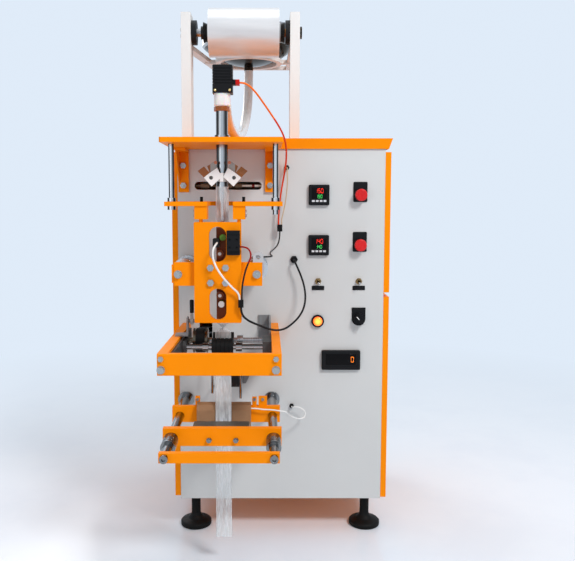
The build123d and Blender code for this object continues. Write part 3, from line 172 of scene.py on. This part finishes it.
def paint(name, colour, rough=0.36, vary=0.05, peel=0.12, zones=(), edge=0.0008, shine=0.3,
          dusty=0.10):
    """Powder coat: slight orange peel, slow changes of tone, dust in the grain."""
    look = Look(name)
    tone = look.spread(look.speckle(6.0, 4), 0.3, 0.7, 1 - vary, 1 + vary)
    base = zoned(look, look.blend(0.0, colour, colour), zones)
    mixed = look.blend(1.0, base, look.node("ShaderNodeCombineColor", Red=tone, Green=tone,
                                            Blue=tone).outputs[0], "MULTIPLY")
    dust = look.spread(look.speckle(140.0, 2), 0.62, 0.8, 0.0, dusty)
    mixed = look.blend(dust, mixed, (0.55, 0.52, 0.48))
    gloss = look.spread(look.speckle(22.0, 5), 0.3, 0.7, rough - 0.06, rough + 0.08)
    normal = look.bump(look.speckle(900.0, 2), peel, 0.0003, look.rounded(edge))
    return look.finish(look.principled(Base_Color=mixed, Roughness=gloss, Normal=normal,
                                       Specular_IOR_Level=shine))


def metal(name, colour, rough=0.25, grain=(30, 30, 900), marks=0.12, zones=(), edge=0.0006):
    """Bare metal with a drawn or turned grain and faint smears."""
    look = Look(name)
    lines = look.speckle(1.0, 4, 0.6, look.mapped(grain))
    tone = look.spread(lines, 0.25, 0.75, 1 - marks, 1 + marks * 0.4)
    base = zoned(look, look.blend(0.0, colour, colour), zones)
    mixed = look.blend(1.0, base, look.node("ShaderNodeCombineColor", Red=tone, Green=tone,
                                            Blue=tone).outputs[0], "MULTIPLY")
    smear = look.speckle(35.0, 5, 0.65)
    gloss = look.spread(smear, 0.3, 0.75, rough * 0.7, rough * 1.5)
    normal = look.bump(lines, 0.10, 0.0003, look.rounded(edge))
    return look.finish(look.principled(Base_Color=mixed, Roughness=gloss, Metallic=1.0,
                                       Normal=normal))


def reflection_painted_bar(name, dark, light, across, rough=0.16):
    """Round bar with a painted reflection: light where it faces along either of two axes,
    with dark bands between, as polished bars look in a room. The third axis runs along the bar."""
    look = Look(name)
    geometry = look.tree.nodes.new("ShaderNodeNewGeometry")
    normal = look.node("ShaderNodeSeparateXYZ", Vector=geometry.outputs["Normal"]).outputs
    squares = [look.math("MULTIPLY", part, part) for part in normal]
    length_axis = 3 - sum(across)
    gap = look.math("SUBTRACT", squares[across[0]], squares[across[1]])
    facing = look.math("ADD", look.math("MULTIPLY", gap, gap),
                       look.math("MULTIPLY", squares[length_axis], 0.55))
    scale = [500, 500, 500]
    scale[length_axis] = 40
    lines = look.speckle(1.0, 4, 0.6, look.mapped(scale))
    facing = look.math("ADD", facing, look.math("MULTIPLY", look.math("SUBTRACT", lines, 0.5), 0.3))
    tone = look.blend(look.spread(facing, 0.12, 0.95, 0.0, 1.0), dark, light)
    smear = look.speckle(35.0, 5, 0.65)
    gloss = look.spread(smear, 0.3, 0.75, rough * 0.7, rough * 1.5)
    return look.finish(look.principled(Base_Color=tone, Roughness=gloss, Metallic=1.0,
                                       Normal=look.bump(lines, 0.08, 0.0003,
                                                        look.rounded(0.0005))))


def plastic(name, colour, rough=0.42, vary=0.06, grain=0.10, zones=(), edge=0.0005,
            coat=0.0, through=0.0, shine=0.15, dusty=0.01):
    """Moulded plastic or rubber with a fine spark-eroded grain."""
    look = Look(name)
    tone = look.spread(look.speckle(30.0, 4), 0.3, 0.7, 1 - vary, 1 + vary)
    base = zoned(look, look.blend(0.0, colour, colour), zones)
    mixed = look.blend(1.0, base, look.node("ShaderNodeCombineColor", Red=tone, Green=tone,
                                            Blue=tone).outputs[0], "MULTIPLY")
    dust = look.spread(look.speckle(260.0, 3), 0.6, 0.85, 0.0, dusty)
    mixed = look.blend(dust, mixed, (0.45, 0.43, 0.40))
    gloss = look.spread(look.speckle(80.0, 4), 0.3, 0.7, rough - 0.07, rough + 0.09)
    normal = look.bump(look.speckle(1500.0, 2), grain, 0.0002, look.rounded(edge))
    return look.finish(look.principled(Base_Color=mixed, Roughness=gloss, Normal=normal,
                                       Coat_Weight=coat, Subsurface_Weight=through,
                                       Subsurface_Scale=0.004, Specular_IOR_Level=shine))


def glow(name, centre, inner, outer, radius, strength):
    """Lit lens: bright in the middle, deeper towards the rim."""
    look = Look(name)
    offset = look.node("ShaderNodeVectorMath", Vector=look.place)
    offset.operation = "SUBTRACT"
    offset.inputs[1].default_value = centre
    length = look.tree.nodes.new("ShaderNodeVectorMath")
    length.operation = "LENGTH"
    look.tree.links.new(offset.outputs[0], length.inputs[0])
    fade = look.spread(length.outputs["Value"], radius * 0.15, radius, 0.0, 1.0)
    colour = look.blend(fade, inner, outer)
    ripple = look.bump(look.speckle(500.0, 1), 0.3, 0.0005)
    return look.finish(look.principled(Base_Color=colour, Roughness=0.15, Normal=ripple,
                                       Emission_Color=colour, Emission_Strength=strength))


def clear(name, tint, film=0.35, rough=0.08, wrinkle=0.6, scale=(60, 60, 14), white=0.25):
    """Thin clear plastic: mostly seen through, bright where it turns edge-on."""
    look = Look(name)
    folds = look.speckle(1.0, 4, 0.6, look.mapped(scale))
    fine = look.speckle(260.0, 3)
    height = look.math("ADD", folds, look.math("MULTIPLY", fine, 0.15))
    normal = look.bump(height, wrinkle, 0.003)
    facing = look.node("ShaderNodeLayerWeight", Blend=0.35, Normal=normal).outputs["Facing"]
    milk = look.spread(folds, 0.45, 0.7, 0.0, white)
    body = look.principled(Base_Color=(*tint, 1), Roughness=rough, Normal=normal,
                           Specular_IOR_Level=0.9, Coat_Weight=0.6)
    see = look.node("ShaderNodeBsdfTransparent")
    see.inputs["Color"].default_value = (0.97, 0.98, 0.98, 1)
    amount = look.math("ADD", look.math("MULTIPLY", facing, 1 - film), film)
    amount = look.math("MINIMUM", look.math("ADD", amount, milk), 1.0)
    mix = look.node("ShaderNodeMixShader", Fac=amount)
    look.tree.links.new(see.outputs[0], mix.inputs[1])
    look.tree.links.new(body.outputs[0], mix.inputs[2])
    return look.finish(mix)


ORANGE = (0.95, 0.262, 0.0)
STEEL = (0.40, 0.40, 0.41)
BLACK = (0.006, 0.006, 0.007)

orange = paint("orange_paint", ORANGE, rough=0.42, vary=0.03, shine=0.08, dusty=0.02)
grey = paint("grey_paint", (0.60, 0.605, 0.60), rough=0.46, vary=0.02, peel=0.08, shine=0.25,
             dusty=0.05)
off_white = paint("off_white_paint", (0.76, 0.755, 0.74), rough=0.45, vary=0.03, shine=0.2,
                  dusty=0.05)
ARM_ZONE = ((-0.240, -0.37, 0.470), (-0.203, -0.06, 0.5165), (0.035, 0.034, 0.034))
BLOCK_ZONE = ((-0.046, -0.25, 0.475), (-0.024, -0.15, 0.5165), (0.05, 0.05, 0.05))
LEVER_ZONE = ((-0.240, -0.25, 0.5167), (-0.190, -0.15, 0.56), (0.30, 0.30, 0.31))
CYLINDER_ZONE = ((-0.119, -0.09, 0.36), (-0.096, None, 0.45), (0.008, 0.008, 0.009))
angle_grey = paint("angle_grey_paint", (0.22, 0.225, 0.23), rough=0.45, shine=0.3,
                   zones=[ARM_ZONE, BLOCK_ZONE, LEVER_ZONE, CYLINDER_ZONE])
inside_white = paint("inside_paint", (0.70, 0.70, 0.66), rough=0.5)
rubber = plastic("black_rubber", (0.006, 0.006, 0.006), rough=0.55, grain=0.25, shine=0.12,
                 dusty=0.005)
black = plastic("black_plastic", BLACK, rough=0.38, dusty=0.005)
steel = metal("brushed_steel", STEEL, rough=0.24, marks=0.3)
# These four bar finishes carry a painted reflection: light and dark bands set by which way the
# surface faces.
standing_bar = reflection_painted_bar("standing_chrome", (0.03, 0.03, 0.03), (0.66, 0.67, 0.68), (0, 1))
fill_bar = reflection_painted_bar("fill_tube_steel", (0.045, 0.042, 0.04), (0.52, 0.53, 0.54), (0, 1))
lying_bar = reflection_painted_bar("lying_chrome", (0.035, 0.033, 0.03), (0.42, 0.42, 0.42), (0, 2))
roller_bar = reflection_painted_bar("shaft_chrome", (0.05, 0.045, 0.04), (0.46, 0.45, 0.44), (1, 2))
chrome = metal("chromed_steel", (0.50, 0.50, 0.51), rough=0.10, grain=(300, 300, 300),
               marks=0.10)
tinned = metal("zinc_plate", (0.47, 0.47, 0.46), rough=0.30, grain=(400, 400, 400), marks=0.3,
               zones=[((-0.172, None, 0.8064), (-0.080, -0.24, 0.8175), (0.01, 0.01, 0.01)),
                      ((0.047, None, 1.2), (None, None, 1.25), (0.03, 0.022, 0.015))])


def wear(node, *materials):
    """Gives a CAD node its finish."""
    data = nodes[node].data
    data.materials.clear()
    for material in materials:
        data.materials.append(material)


for name in ("cabinet_frame", "left_door", "right_upper_door", "right_lower_door", "top_cap",
             "door_hinges", "head_plates", "sealer_frame", "pinch_frame", "rear_jaw_plate",
             "front_jaw_plates"):
    wear(name, orange)
wear("cabinet_panels", grey)
wear("roll_stand", off_white)
wear("cabinet_contents", inside_white)
wear("frame_brackets", angle_grey)
wear("fasteners", tinned)
for name in ("levelling_feet", "drive_roller", "idler_roller", "drive_belt", "cable_sleeves"):
    wear(name, rubber)
for name in ("panel_plates", "selector_knob", "cable_glands"):
    wear(name, black)
KEY_COLOUR = (0.62, 0.63, 0.65)
wear("panel_instruments", plastic("bezel_plastic", BLACK, rough=0.35, zones=[
    (tuple(at(70, 8.9, 685)), tuple(at(106, 7.81, 693)), KEY_COLOUR),
    (tuple(at(70, 8.9, 802)), tuple(at(106, 7.81, 811)), KEY_COLOUR)]))
wear("push_button_upper", plastic("red_button", (0.60, 0.008, 0.008), rough=0.25, coat=0.4))
wear("push_button_lower", nodes["push_button_upper"].data.materials[0])
wear("pilot_lens", glow("lit_lens", at(87, 12, 522), (1.0, 0.50, 0.06), (0.95, 0.06, 0.01),
                        0.0125, 1.3))
wear("toggle_bodies", metal("brass_nut", (0.30, 0.19, 0.08), rough=0.28))
wear("toggle_lever_left", chrome)
wear("toggle_lever_right", chrome)
wear("chrome_posts", standing_bar)
wear("jaw_sleeves", lying_bar)
wear("jaw_rods", lying_bar)
wear("slot_roller", plastic("roller_white", (0.78, 0.74, 0.68), rough=0.3, zones=[
    ((-0.069, None, None), (-0.063, None, None), (0.16, 0.012, 0.012)),
    ((None, None, None), (-0.0924, None, None), (0.16, 0.11, 0.07))]))
wear("fill_tube", fill_bar)
# The tank band from 1.16 to 1.2235 m up is painted near black: a painted dark reflection under the
# roll.
wear("tank", metal("tank_steel", (0.48, 0.48, 0.49), rough=0.2, grain=(12, 12, 260), zones=[
    ((None, None, 1.16), (None, None, 1.2235), (0.035, 0.028, 0.022))]))
wear("valve_body", plastic("white_nylon", (0.80, 0.79, 0.79), rough=0.25, through=0.5, zones=[
    ((None, None, None), (None, None, 1.0041), (0.30, 0.09, 0.02))]))
wear("valve_coil", plastic("coil_black", BLACK, rough=0.38, zones=[
    ((-0.100, None, None), (None, None, None), (0.55, 0.01, 0.008))]))
WHITE_FACE = (0.84, 0.84, 0.83)
wear("forming_wings", paint("wing_finish", WHITE_FACE, rough=0.3, shine=0.4, zones=[
    ((None, -0.2184, None), (None, None, None), (0.34, 0.32, 0.30)),
    ((None, -0.2184, 0.8570), (-0.1530, -0.2105, None), (0.25, 0.075, 0.012)),
    ((-0.1015, -0.2184, 0.8570), (None, -0.2105, None), (0.25, 0.085, 0.015)),
    ((None, None, 0.8844), (None, -0.2180, None), (0.50, 0.16, 0.08))]))
wear("counter_jaw", metal("counter_steel", (0.20, 0.17, 0.13), rough=0.35, grain=(900, 60, 60)))
wear("terminal_block", plastic("terminal_plastic", BLACK, rough=0.42, zones=[
    ((-0.066, None, None), (None, None, None), (0.50, 0.50, 0.51))]))
wear("drive_shaft", metal("drum_steel", (0.16, 0.135, 0.10), rough=0.28, grain=(900, 40, 40),
                          marks=0.5, zones=[((-0.160, None, None), (None, None, None), STEEL)]))
wear("idler_shaft", roller_bar)
wear("motor_pulley", steel)
wear("release_lever", plastic("lever_grip", BLACK, rough=0.4, zones=[
    ((None, None, None), (None, None, 0.5665), (0.40, 0.40, 0.40))]))
wear("roll_bearings", plastic("bearing_black", (0.01, 0.01, 0.011), rough=0.4))
wear("roll_arbor", metal("arbor_steel", (0.03, 0.028, 0.026), rough=0.3, grain=(60, 400, 400),
                         zones=[((-0.1630, None, None), (-0.0175, None, None), STEEL),
                                ((0.0115, None, None), (None, None, None), (0.60, 0.22, 0.04)),
                                ((None, None, None), (-0.1976, None, None), STEEL)]))
wear("heater_bar", plastic("heater_finish", (0.16, 0.045, 0.015), rough=0.45, zones=[
    ((-0.1345, None, 0.720), (None, -0.2337, 0.742), (0.08, 0.17, 0.02)),
    ((None, None, 0.586), (None, -0.2337, 0.602), (0.08, 0.17, 0.02)),
    ((None, None, 0.712), (-0.1330, -0.2337, 0.732), (0.01, 0.01, 0.01)),
    ((None, None, None), (None, -0.2482, 0.712), (0.50, 0.48, 0.47))]))


def woven(name, colour, rough=0.6):
    """Brown heat-proof cloth stretched over a bar."""
    look = Look(name)
    wave = look.node("ShaderNodeTexWave", Scale=260.0, Distortion=1.5, Detail=2.0)
    look.feed(wave.inputs["Vector"], look.place)
    wave.bands_direction = "X"
    cross = look.node("ShaderNodeTexWave", Scale=260.0, Distortion=1.5, Detail=2.0)
    look.feed(cross.inputs["Vector"], look.place)
    cross.bands_direction = "Z"
    weave = look.math("MULTIPLY", wave.outputs["Fac"], cross.outputs["Fac"])
    tone = look.blend(look.speckle(40.0, 4), colour, tuple(c * 0.6 for c in colour))
    mixed = look.blend(look.math("MULTIPLY", weave, 0.35), tone,
                       tuple(min(1, c * 1.6) for c in colour))
    normal = look.bump(weave, 0.3, 0.0003, look.rounded(0.0008))
    return look.finish(look.principled(Base_Color=mixed, Roughness=rough, Normal=normal))


wear("heater_jaw", woven("brown_cloth", (0.34, 0.17, 0.075)))

# Cords and hose
sheath = {
    "red": plastic("red_sheath", (0.66, 0.05, 0.015), rough=0.38, zones=[
        ((None, None, 0.985), (None, None, None), (0.85, 0.17, 0.01))]),
    "beige": plastic("beige_sleeve", (0.55, 0.42, 0.28), rough=0.6, grain=0.4),
    "white": plastic("white_sheath", (0.80, 0.79, 0.77), rough=0.42),
    "black": plastic("black_sheath", (0.010, 0.010, 0.011), rough=0.4),
    "red_end": plastic("red_to_black_sheath", (0.010, 0.010, 0.011), rough=0.4, zones=[
        ((None, None, 0.682), (None, None, None), (0.30, 0.008, 0.006))]),
    "hose": clear("clear_hose", (0.76, 0.78, 0.78), film=0.78, rough=0.14, wrinkle=0.10,
                  scale=(90, 90, 90), white=0.15),
}


def cable(name, points, diameter, look):
    """Cable or hose on one smooth line through the control points of its route."""
    curve = bpy.data.curves.new(name, "CURVE")
    curve.dimensions = "3D"
    line = curve.splines.new("NURBS")
    line.points.add(len(points) - 1)
    for spot, place in zip(line.points, points):
        spot.co = (*at(*place), 1.0)
    line.order_u = 3
    line.use_endpoint_u = True
    line.resolution_u = 12
    curve.bevel_depth = diameter / 2
    curve.bevel_resolution = 6
    curve.use_fill_caps = True
    curve.materials.append(sheath[look])
    piece = bpy.data.objects.new(name + "_look", curve)
    scene.collection.objects.link(piece)
    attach(piece, "cabinet")
    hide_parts(name)
    return piece


cable("hose", [(-83, -346, 1165), (-83, -346, 1078), (-95, -259, 992), (-106, -150, 966),
               (-114, -35, 966), (-123.5, 71.1, 983.4), (-123.5, 124.1, 1011.5)],
      0.025, "hose")
cable("valve_cable", [(-92, 154, 1054), (-79, 154, 1054), (-61, 147, 1039), (-44, 132, 1018),
                      (-26, 111, 995), (-9, 86, 973), (4, 60, 952), (10, 36, 929),
                      (11, 20, 904), (8, 14, 878), (3, 12, 850), (-2, 12, 822), (-5, 14, 794),
                      (-7, 18, 771), (-7, 18, 752)],
      0.004, "red")
cable("gland_wire", [(0, 18, 752), (0, 18, 764), (5, 16, 782), (9, 16, 803), (12, 18, 826),
                     (13.5, 22, 848), (13.2, 25, 868), (12.5, 20, 884), (12.5, 8, 884)],
      0.0026, "beige")
cable("clamp_cable", [(-4, 18, 736), (-4, 18, 722), (-8, 30, 707), (-15, 55, 700),
                      (-22, 84, 697), (-27, 115, 695), (-28, 146, 693), (-23, 174, 692.2),
                      (-27, 197, 692.2), (-42, 197, 692.2)], 0.0032, "black")
cable("heater_lead", [(-137.5, 213, 722), (-137.5, 228, 722), (-144.5, 238, 711),
                      (-144.5, 239, 691), (-135.5, 236, 669), (-121.5, 232, 649),
                      (-106.5, 228, 632), (-91, 224, 618), (-91, 224, 606)],
      0.004, "white")
cable("sealer_lead", [(-90, 224, 715), (-77.5, 224, 715), (-68.5, 226, 706), (-67.5, 227, 693),
                      (-74.5, 229, 679), (-80.5, 229, 661), (-84.5, 227, 641),
                      (-86.5, 224, 623), (-86.5, 224, 606)], 0.0036, "red_end")
cable("sealer_cable", [(-88, 224, 590), (-88, 224, 576), (-75, 208, 560), (-56, 188, 548),
                       (-36, 167, 536), (-16, 148, 527), (4, 128, 526), (21, 106, 533),
                       (38, 84, 545), (51, 61, 562), (56, 40, 585), (53, 28, 611),
                       (45, 22, 635), (36, 22, 655), (30, 20, 669), (30, 8, 669)],
      0.0046, "black")
cable("jaw_leads", [(-69.5, 142, 352), (-58, 142, 352), (-42, 144, 350), (-22, 143, 349),
                    (-3, 142, 346), (8, 129, 340), (13, 107, 329), (21, 82, 315),
                    (33, 57, 302), (46, 35, 293), (57, 21, 294), (58, 18, 306),
                    (46, 18, 316), (32, 19, 318), (26, 17, 315), (26, 8, 315)],
      0.003, "white")


# Pieces made of mesh
def place_mesh(name, form, material, body="cabinet", smooth=True):
    """Object from a bmesh, riding on a body."""
    data = bpy.data.meshes.new(name)
    form.to_mesh(data)
    form.free()
    data.materials.append(material)
    for face in data.polygons:
        face.use_smooth = smooth
    piece = bpy.data.objects.new(name, data)
    scene.collection.objects.link(piece)
    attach(piece, body)
    return piece


def add_block(form, low, high, bevel=0.0003):
    """Box with rounded edges, in metres."""
    made = bmesh.ops.create_cube(form, size=1.0)["verts"]
    centre = (Vector(low) + Vector(high)) / 2
    size = Vector(high) - Vector(low)
    for vert in made:
        vert.co = Vector(vert.co[i] * size[i] for i in range(3)) + centre
    if bevel:
        edges = {edge for vert in made for edge in vert.link_edges}
        bmesh.ops.bevel(form, geom=list(edges), offset=bevel, segments=2, affect="EDGES",
                        profile=0.5)


def add_turned(form, origin, direction, profile, segments=48):
    """Surface turned about a line: profile gives distance along it and radius."""
    turn = Vector((0, 0, 1)).rotation_difference(Vector(direction)).to_matrix()
    rings = []
    for along, radius in profile:
        ring = []
        for index in range(segments):
            angle = 2 * math.pi * index / segments
            spot = Vector((radius * math.cos(angle), radius * math.sin(angle), along))
            ring.append(form.verts.new(Vector(origin) + turn @ spot))
        rings.append(ring)
    for first, second in zip(rings, rings[1:]):
        for index in range(segments):
            other = (index + 1) % segments
            form.faces.new((first[index], first[other], second[other], second[index]))
    form.faces.new(list(reversed(rings[0])))
    form.faces.new(rings[-1])


SEGMENTS = {"0": "abcdef", "1": "bc", "2": "abged", "3": "abgcd", "4": "fgbc", "5": "afgcd",
            "6": "afgedc", "7": "abc", "8": "abcdefg", "9": "abcdfg"}


def readout(name, text, x, reach, z, height, material, pitch=None):
    """Seven-segment figures standing a hair in front of their window."""
    width = height * 0.5
    pitch = pitch or height * 0.72
    stroke = height * 0.11
    form = bmesh.new()
    start = x - pitch * (len(text) - 1) / 2
    for index, figure in enumerate(text):
        cx = start + pitch * index
        h, w, s = height / 2, width / 2, stroke / 2
        bars = {"a": (-w, w, h - s, h + s), "g": (-w, w, -s, s), "d": (-w, w, -h - s, -h + s),
                "f": (-w - s, -w + s, 0, h), "b": (w - s, w + s, 0, h),
                "e": (-w - s, -w + s, -h, 0), "c": (w - s, w + s, -h, 0)}
        for key in SEGMENTS[figure]:
            x0, x1, z0, z1 = bars[key]
            shrink = s * 0.6
            add_block(form, at(cx + x0 + shrink, reach + 0.25, z + z0 + shrink * 0.5),
                      at(cx + x1 - shrink, reach, z + z1 - shrink * 0.5), 0.00005)
    return place_mesh(name, form, material, smooth=False)


def lit(name, colour, strength):
    look = Look(name)
    flicker = look.spread(look.speckle(900.0, 1), 0.3, 0.7, strength * 0.8, strength)
    return look.finish(look.principled(Base_Color=(*colour, 1), Roughness=0.3,
                                       Emission_Color=(*colour, 1),
                                       Emission_Strength=flicker))


red_light = lit("red_figures", (1.0, 0.03, 0.01), 2.4)
green_light = lit("green_figures", (0.10, 0.95, 0.18), 1.6)
amber_light = lit("amber_figures", (1.0, 0.22, 0.01), 2.2)
window = plastic("dark_window", (0.003, 0.0025, 0.003), rough=0.10, shine=0.1, grain=0.02,
                 dusty=0.002)
for label, (cx, cz), upper, lower in (("upper", (88, 820.5), "150", "150"),
                                      ("lower", (88, 703), "140", "140")):
    form = bmesh.new()
    add_block(form, at(cx - 17, 8.5, cz - 9), at(cx + 17, 7.8, cz + 17), 0.0003)
    place_mesh(f"{label}_readout_window", form, window)
    readout(f"{label}_red_figures", upper, cx, 8.55, cz + 9.5, 9.5, red_light)
    readout(f"{label}_green_figures", lower, cx, 8.55, cz - 3.5, 7.0, green_light)
form = bmesh.new()
add_block(form, at(143 - 36, 8.6, 428 - 11), at(143 + 36, 7.8, 428 + 15), 0.0004)
place_mesh("counter_window", form, window)
readout("counter_figure", "0", 170, 8.65, 430, 12, amber_light)

form = bmesh.new()
for side in (-1, 1):
    add_turned(form, at(FILM_X * 1000 + 2.5 + side * 15, 173, 1036), (0, -1, 0),
               [(0, 0.0026), (0.0014, 0.0026), (0.002, 0.0018), (0.002, 0.0002)], 24)
place_mesh("coil_screws", form, metal("gold_screw", (0.85, 0.62, 0.25), rough=0.25))

knob_spots = [vert.co for vert in nodes["selector_knob"].data.vertices]
knob_front = min(spot.y for spot in knob_spots)
form = bmesh.new()
add_block(form, (-0.0009, knob_front - 0.0003, 0.002), (0.0009, knob_front + 0.0006, 0.011),
          0.0002)
pointer = place_mesh("selector_pointer", form, plastic("white_mark", (0.85, 0.85, 0.83)),
                     body="selector_knob")
turn = Matrix.Rotation(math.radians(-40), 3, "Y")
for vert in pointer.data.vertices:
    flat = Vector((vert.co.x, 0, vert.co.z))
    spun = turn @ flat
    vert.co = Vector((spun.x + 0.1845, vert.co.y, spun.z + 0.527))

# Film
film_look = clear("clear_film", (0.86, 0.87, 0.88), film=0.30, rough=0.14, wrinkle=0.9,
                  scale=(140, 140, 22), white=0.45)


def film_surface():
    """Film drawn round the tube, closing to a flat strip above the draw rollers."""
    form = bmesh.new()
    around = 72
    heights = [838, 834, 826, 815]
    step = 800
    while step > 560:
        heights.append(step)
        step -= 9
    heights += [552, 545, 539, 533, 528, 523]
    step = 512
    while step > 62:
        heights.append(step)
        step -= 9
    heights.append(62)
    rings = []
    for z in heights:
        closing = min(1.0, max(0.0, (548 - z) / 24))
        closing = closing * closing * (3 - 2 * closing)
        ring = []
        for index in range(around):
            angle = 2 * math.pi * index / around
            crease = noise.noise(Vector((math.cos(angle) * 2.2, math.sin(angle) * 2.2,
                                         z / 55)))
            radius = 13.6 + 0.7 * crease + 0.25 * noise.noise(Vector((angle * 5, 0, z / 9)))
            round_x = radius * math.cos(angle)
            round_y = radius * math.sin(angle)
            flat_x = 17.4 * (1 - abs(1 - 2 * ((index / around) % 1.0)) * 2)
            wave = 0.25 * math.sin(flat_x / 3.1 + z / 37) + 0.35 * noise.noise(
                Vector((flat_x / 7, 3.1, z / 26)))
            if 470 < z < 524 or 322 < z < 350:
                wave *= 0.2
            side = 0.34 if index < around / 2 else -0.34
            x = round_x * (1 - closing) + flat_x * closing
            y = round_y * (1 - closing) + (side + wave * 0.5) * closing
            spot = at(FILM_X * 1000 + x, 154 - y, z)
            ring.append(form.verts.new(spot))
        rings.append(ring)
    for first, second in zip(rings, rings[1:]):
        for index in range(around):
            other = (index + 1) % around
            form.faces.new((first[index], first[other], second[other], second[index]))
    bmesh.ops.recalc_face_normals(form, faces=form.faces)
    return form


film = place_mesh("film_look", film_surface(), film_look)
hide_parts("film_tube")


def roll_material():
    """Wound film: silvery, with faint streaks along the roll and fine rings on its ends."""
    look = Look("wound_film")
    split = look.node("ShaderNodeSeparateXYZ", Vector=look.place)
    dy = look.math("SUBTRACT", split.outputs[1], 0.107)
    dz = look.math("SUBTRACT", split.outputs[2], 1.224)
    radius = look.math("SQRT", look.math("ADD", look.math("MULTIPLY", dy, dy),
                                         look.math("MULTIPLY", dz, dz)))
    rings = look.node("ShaderNodeTexNoise", Scale=1.0, Detail=4.0)
    joined = look.node("ShaderNodeCombineXYZ", X=look.math("MULTIPLY", radius, 900.0))
    look.feed(rings.inputs["Vector"], joined.outputs[0])
    streaks = look.speckle(1.0, 4, 0.5, look.mapped((5, 38, 38)))
    tone = look.blend(look.spread(streaks, 0.3, 0.7, 0.0, 1.0), (0.60, 0.60, 0.61),
                      (0.74, 0.74, 0.745))
    on_end = look.math("LESS_THAN", radius, 0.0588)
    tone = look.blend(look.math("MULTIPLY", on_end, look.spread(rings.outputs["Fac"], 0.35,
                                                                0.65, 0.0, 0.5)),
                      tone, (0.34, 0.35, 0.37))
    core = look.math("LESS_THAN", radius, 0.0262)
    tone = look.blend(core, tone, (0.20, 0.20, 0.20))
    normal = look.bump(streaks, 0.25, 0.002)
    return look.finish(look.principled(Base_Color=tone, Roughness=0.28, Normal=normal,
                                       Metallic=0.35, Specular_IOR_Level=0.5))


wear("film_roll", roll_material())

# Floor and light
BACKDROP = (0.745, 0.835, 0.945)
FLOOR_NEAR = 0.9
FLOOR_FAR = 2.3


def seen_directly(tree):
    """1 for rays that show the background: camera, mirror and see-through ones."""
    rays = tree.nodes.new("ShaderNodeLightPath")
    first = tree.nodes.new("ShaderNodeMath")
    first.operation = "MAXIMUM"
    tree.links.new(rays.outputs["Is Camera Ray"], first.inputs[0])
    tree.links.new(rays.outputs["Is Glossy Ray"], first.inputs[1])
    second = tree.nodes.new("ShaderNodeMath")
    second.operation = "MAXIMUM"
    tree.links.new(first.outputs[0], second.inputs[0])
    tree.links.new(rays.outputs["Is Transmission Ray"], second.inputs[1])
    return second.outputs[0]


def floor_material():
    """Pale polished floor that fades into the backdrop away from the machine."""
    look = Look("studio_floor")
    veins = look.speckle(3.0, 6, 0.62)
    tone = look.blend(look.spread(veins, 0.45, 0.62, 0.0, 0.5), (0.80, 0.855, 0.93),
                      (0.74, 0.80, 0.89))
    body = look.principled(Base_Color=tone, Roughness=0.16, Specular_IOR_Level=0.35)
    split = look.node("ShaderNodeSeparateXYZ", Vector=look.place)
    away = look.math("SQRT", look.math("ADD", look.math("MULTIPLY", split.outputs[0],
                                                        split.outputs[0]),
                                       look.math("MULTIPLY", split.outputs[1],
                                                 split.outputs[1])))
    fade = look.math("MULTIPLY", look.spread(away, FLOOR_NEAR, FLOOR_FAR, 0.0, 1.0),
                     seen_directly(look.tree))
    plain = look.tree.nodes.new("ShaderNodeEmission")
    plain.inputs["Color"].default_value = (*BACKDROP, 1)
    plain.inputs["Strength"].default_value = 1.0
    mix = look.node("ShaderNodeMixShader", Fac=fade)
    look.tree.links.new(body.outputs[0], mix.inputs[1])
    look.tree.links.new(plain.outputs[0], mix.inputs[2])
    return look.finish(mix)


form = bmesh.new()
bmesh.ops.create_grid(form, x_segments=1, y_segments=1, size=14)
floor_data = bpy.data.meshes.new("studio_floor")
form.to_mesh(floor_data)
form.free()
floor_data.materials.append(floor_material())
floor = bpy.data.objects.new("studio_floor", floor_data)
floor.location = (0, 0, -0.0005)
scene.collection.objects.link(floor)


def softbox(name, place, target, size, power, colour=(1, 1, 1)):
    data = bpy.data.lights.new(name, "AREA")
    data.shape = "RECTANGLE"
    data.size, data.size_y = size
    data.energy = power
    data.color = colour
    lamp = bpy.data.objects.new(name, data)
    lamp.location = place
    lamp.rotation_mode = "QUATERNION"
    lamp.rotation_quaternion = (Vector(target) - Vector(place)).to_track_quat("-Z", "Y")
    scene.collection.objects.link(lamp)


softbox("key_light", (1.5, -2.2, 2.9), (0, 0, 0.75), (0.7, 0.7), 74)
softbox("fill_light", (-2.4, -2.6, 1.2), (0, 0, 0.6), (2.2, 2.2), 16, (0.95, 0.975, 1.0))
softbox("top_light", (0.2, 0.1, 3.4), (0, 0.05, 0.6), (2.4, 2.4), 24)
softbox("rim_light", (-1.8, 2.6, 2.4), (0, 0, 0.9), (1.6, 1.6), 26)

world = bpy.data.worlds.new("studio")
scene.world = world
world.use_nodes = True
tree = world.node_tree
tree.nodes.clear()
shown = tree.nodes.new("ShaderNodeBackground")
shown.inputs["Color"].default_value = (*BACKDROP, 1)
shown.inputs["Strength"].default_value = 1.0
soft = tree.nodes.new("ShaderNodeBackground")
soft.inputs["Color"].default_value = (0.95, 0.975, 1.0, 1)
soft.inputs["Strength"].default_value = 0.48
mix = tree.nodes.new("ShaderNodeMixShader")
tree.links.new(seen_directly(tree), mix.inputs[0])
tree.links.new(soft.outputs[0], mix.inputs[1])
tree.links.new(shown.outputs[0], mix.inputs[2])
out = tree.nodes.new("ShaderNodeOutputWorld")
tree.links.new(mix.outputs[0], out.inputs["Surface"])
scene.view_settings.view_transform = "Standard"
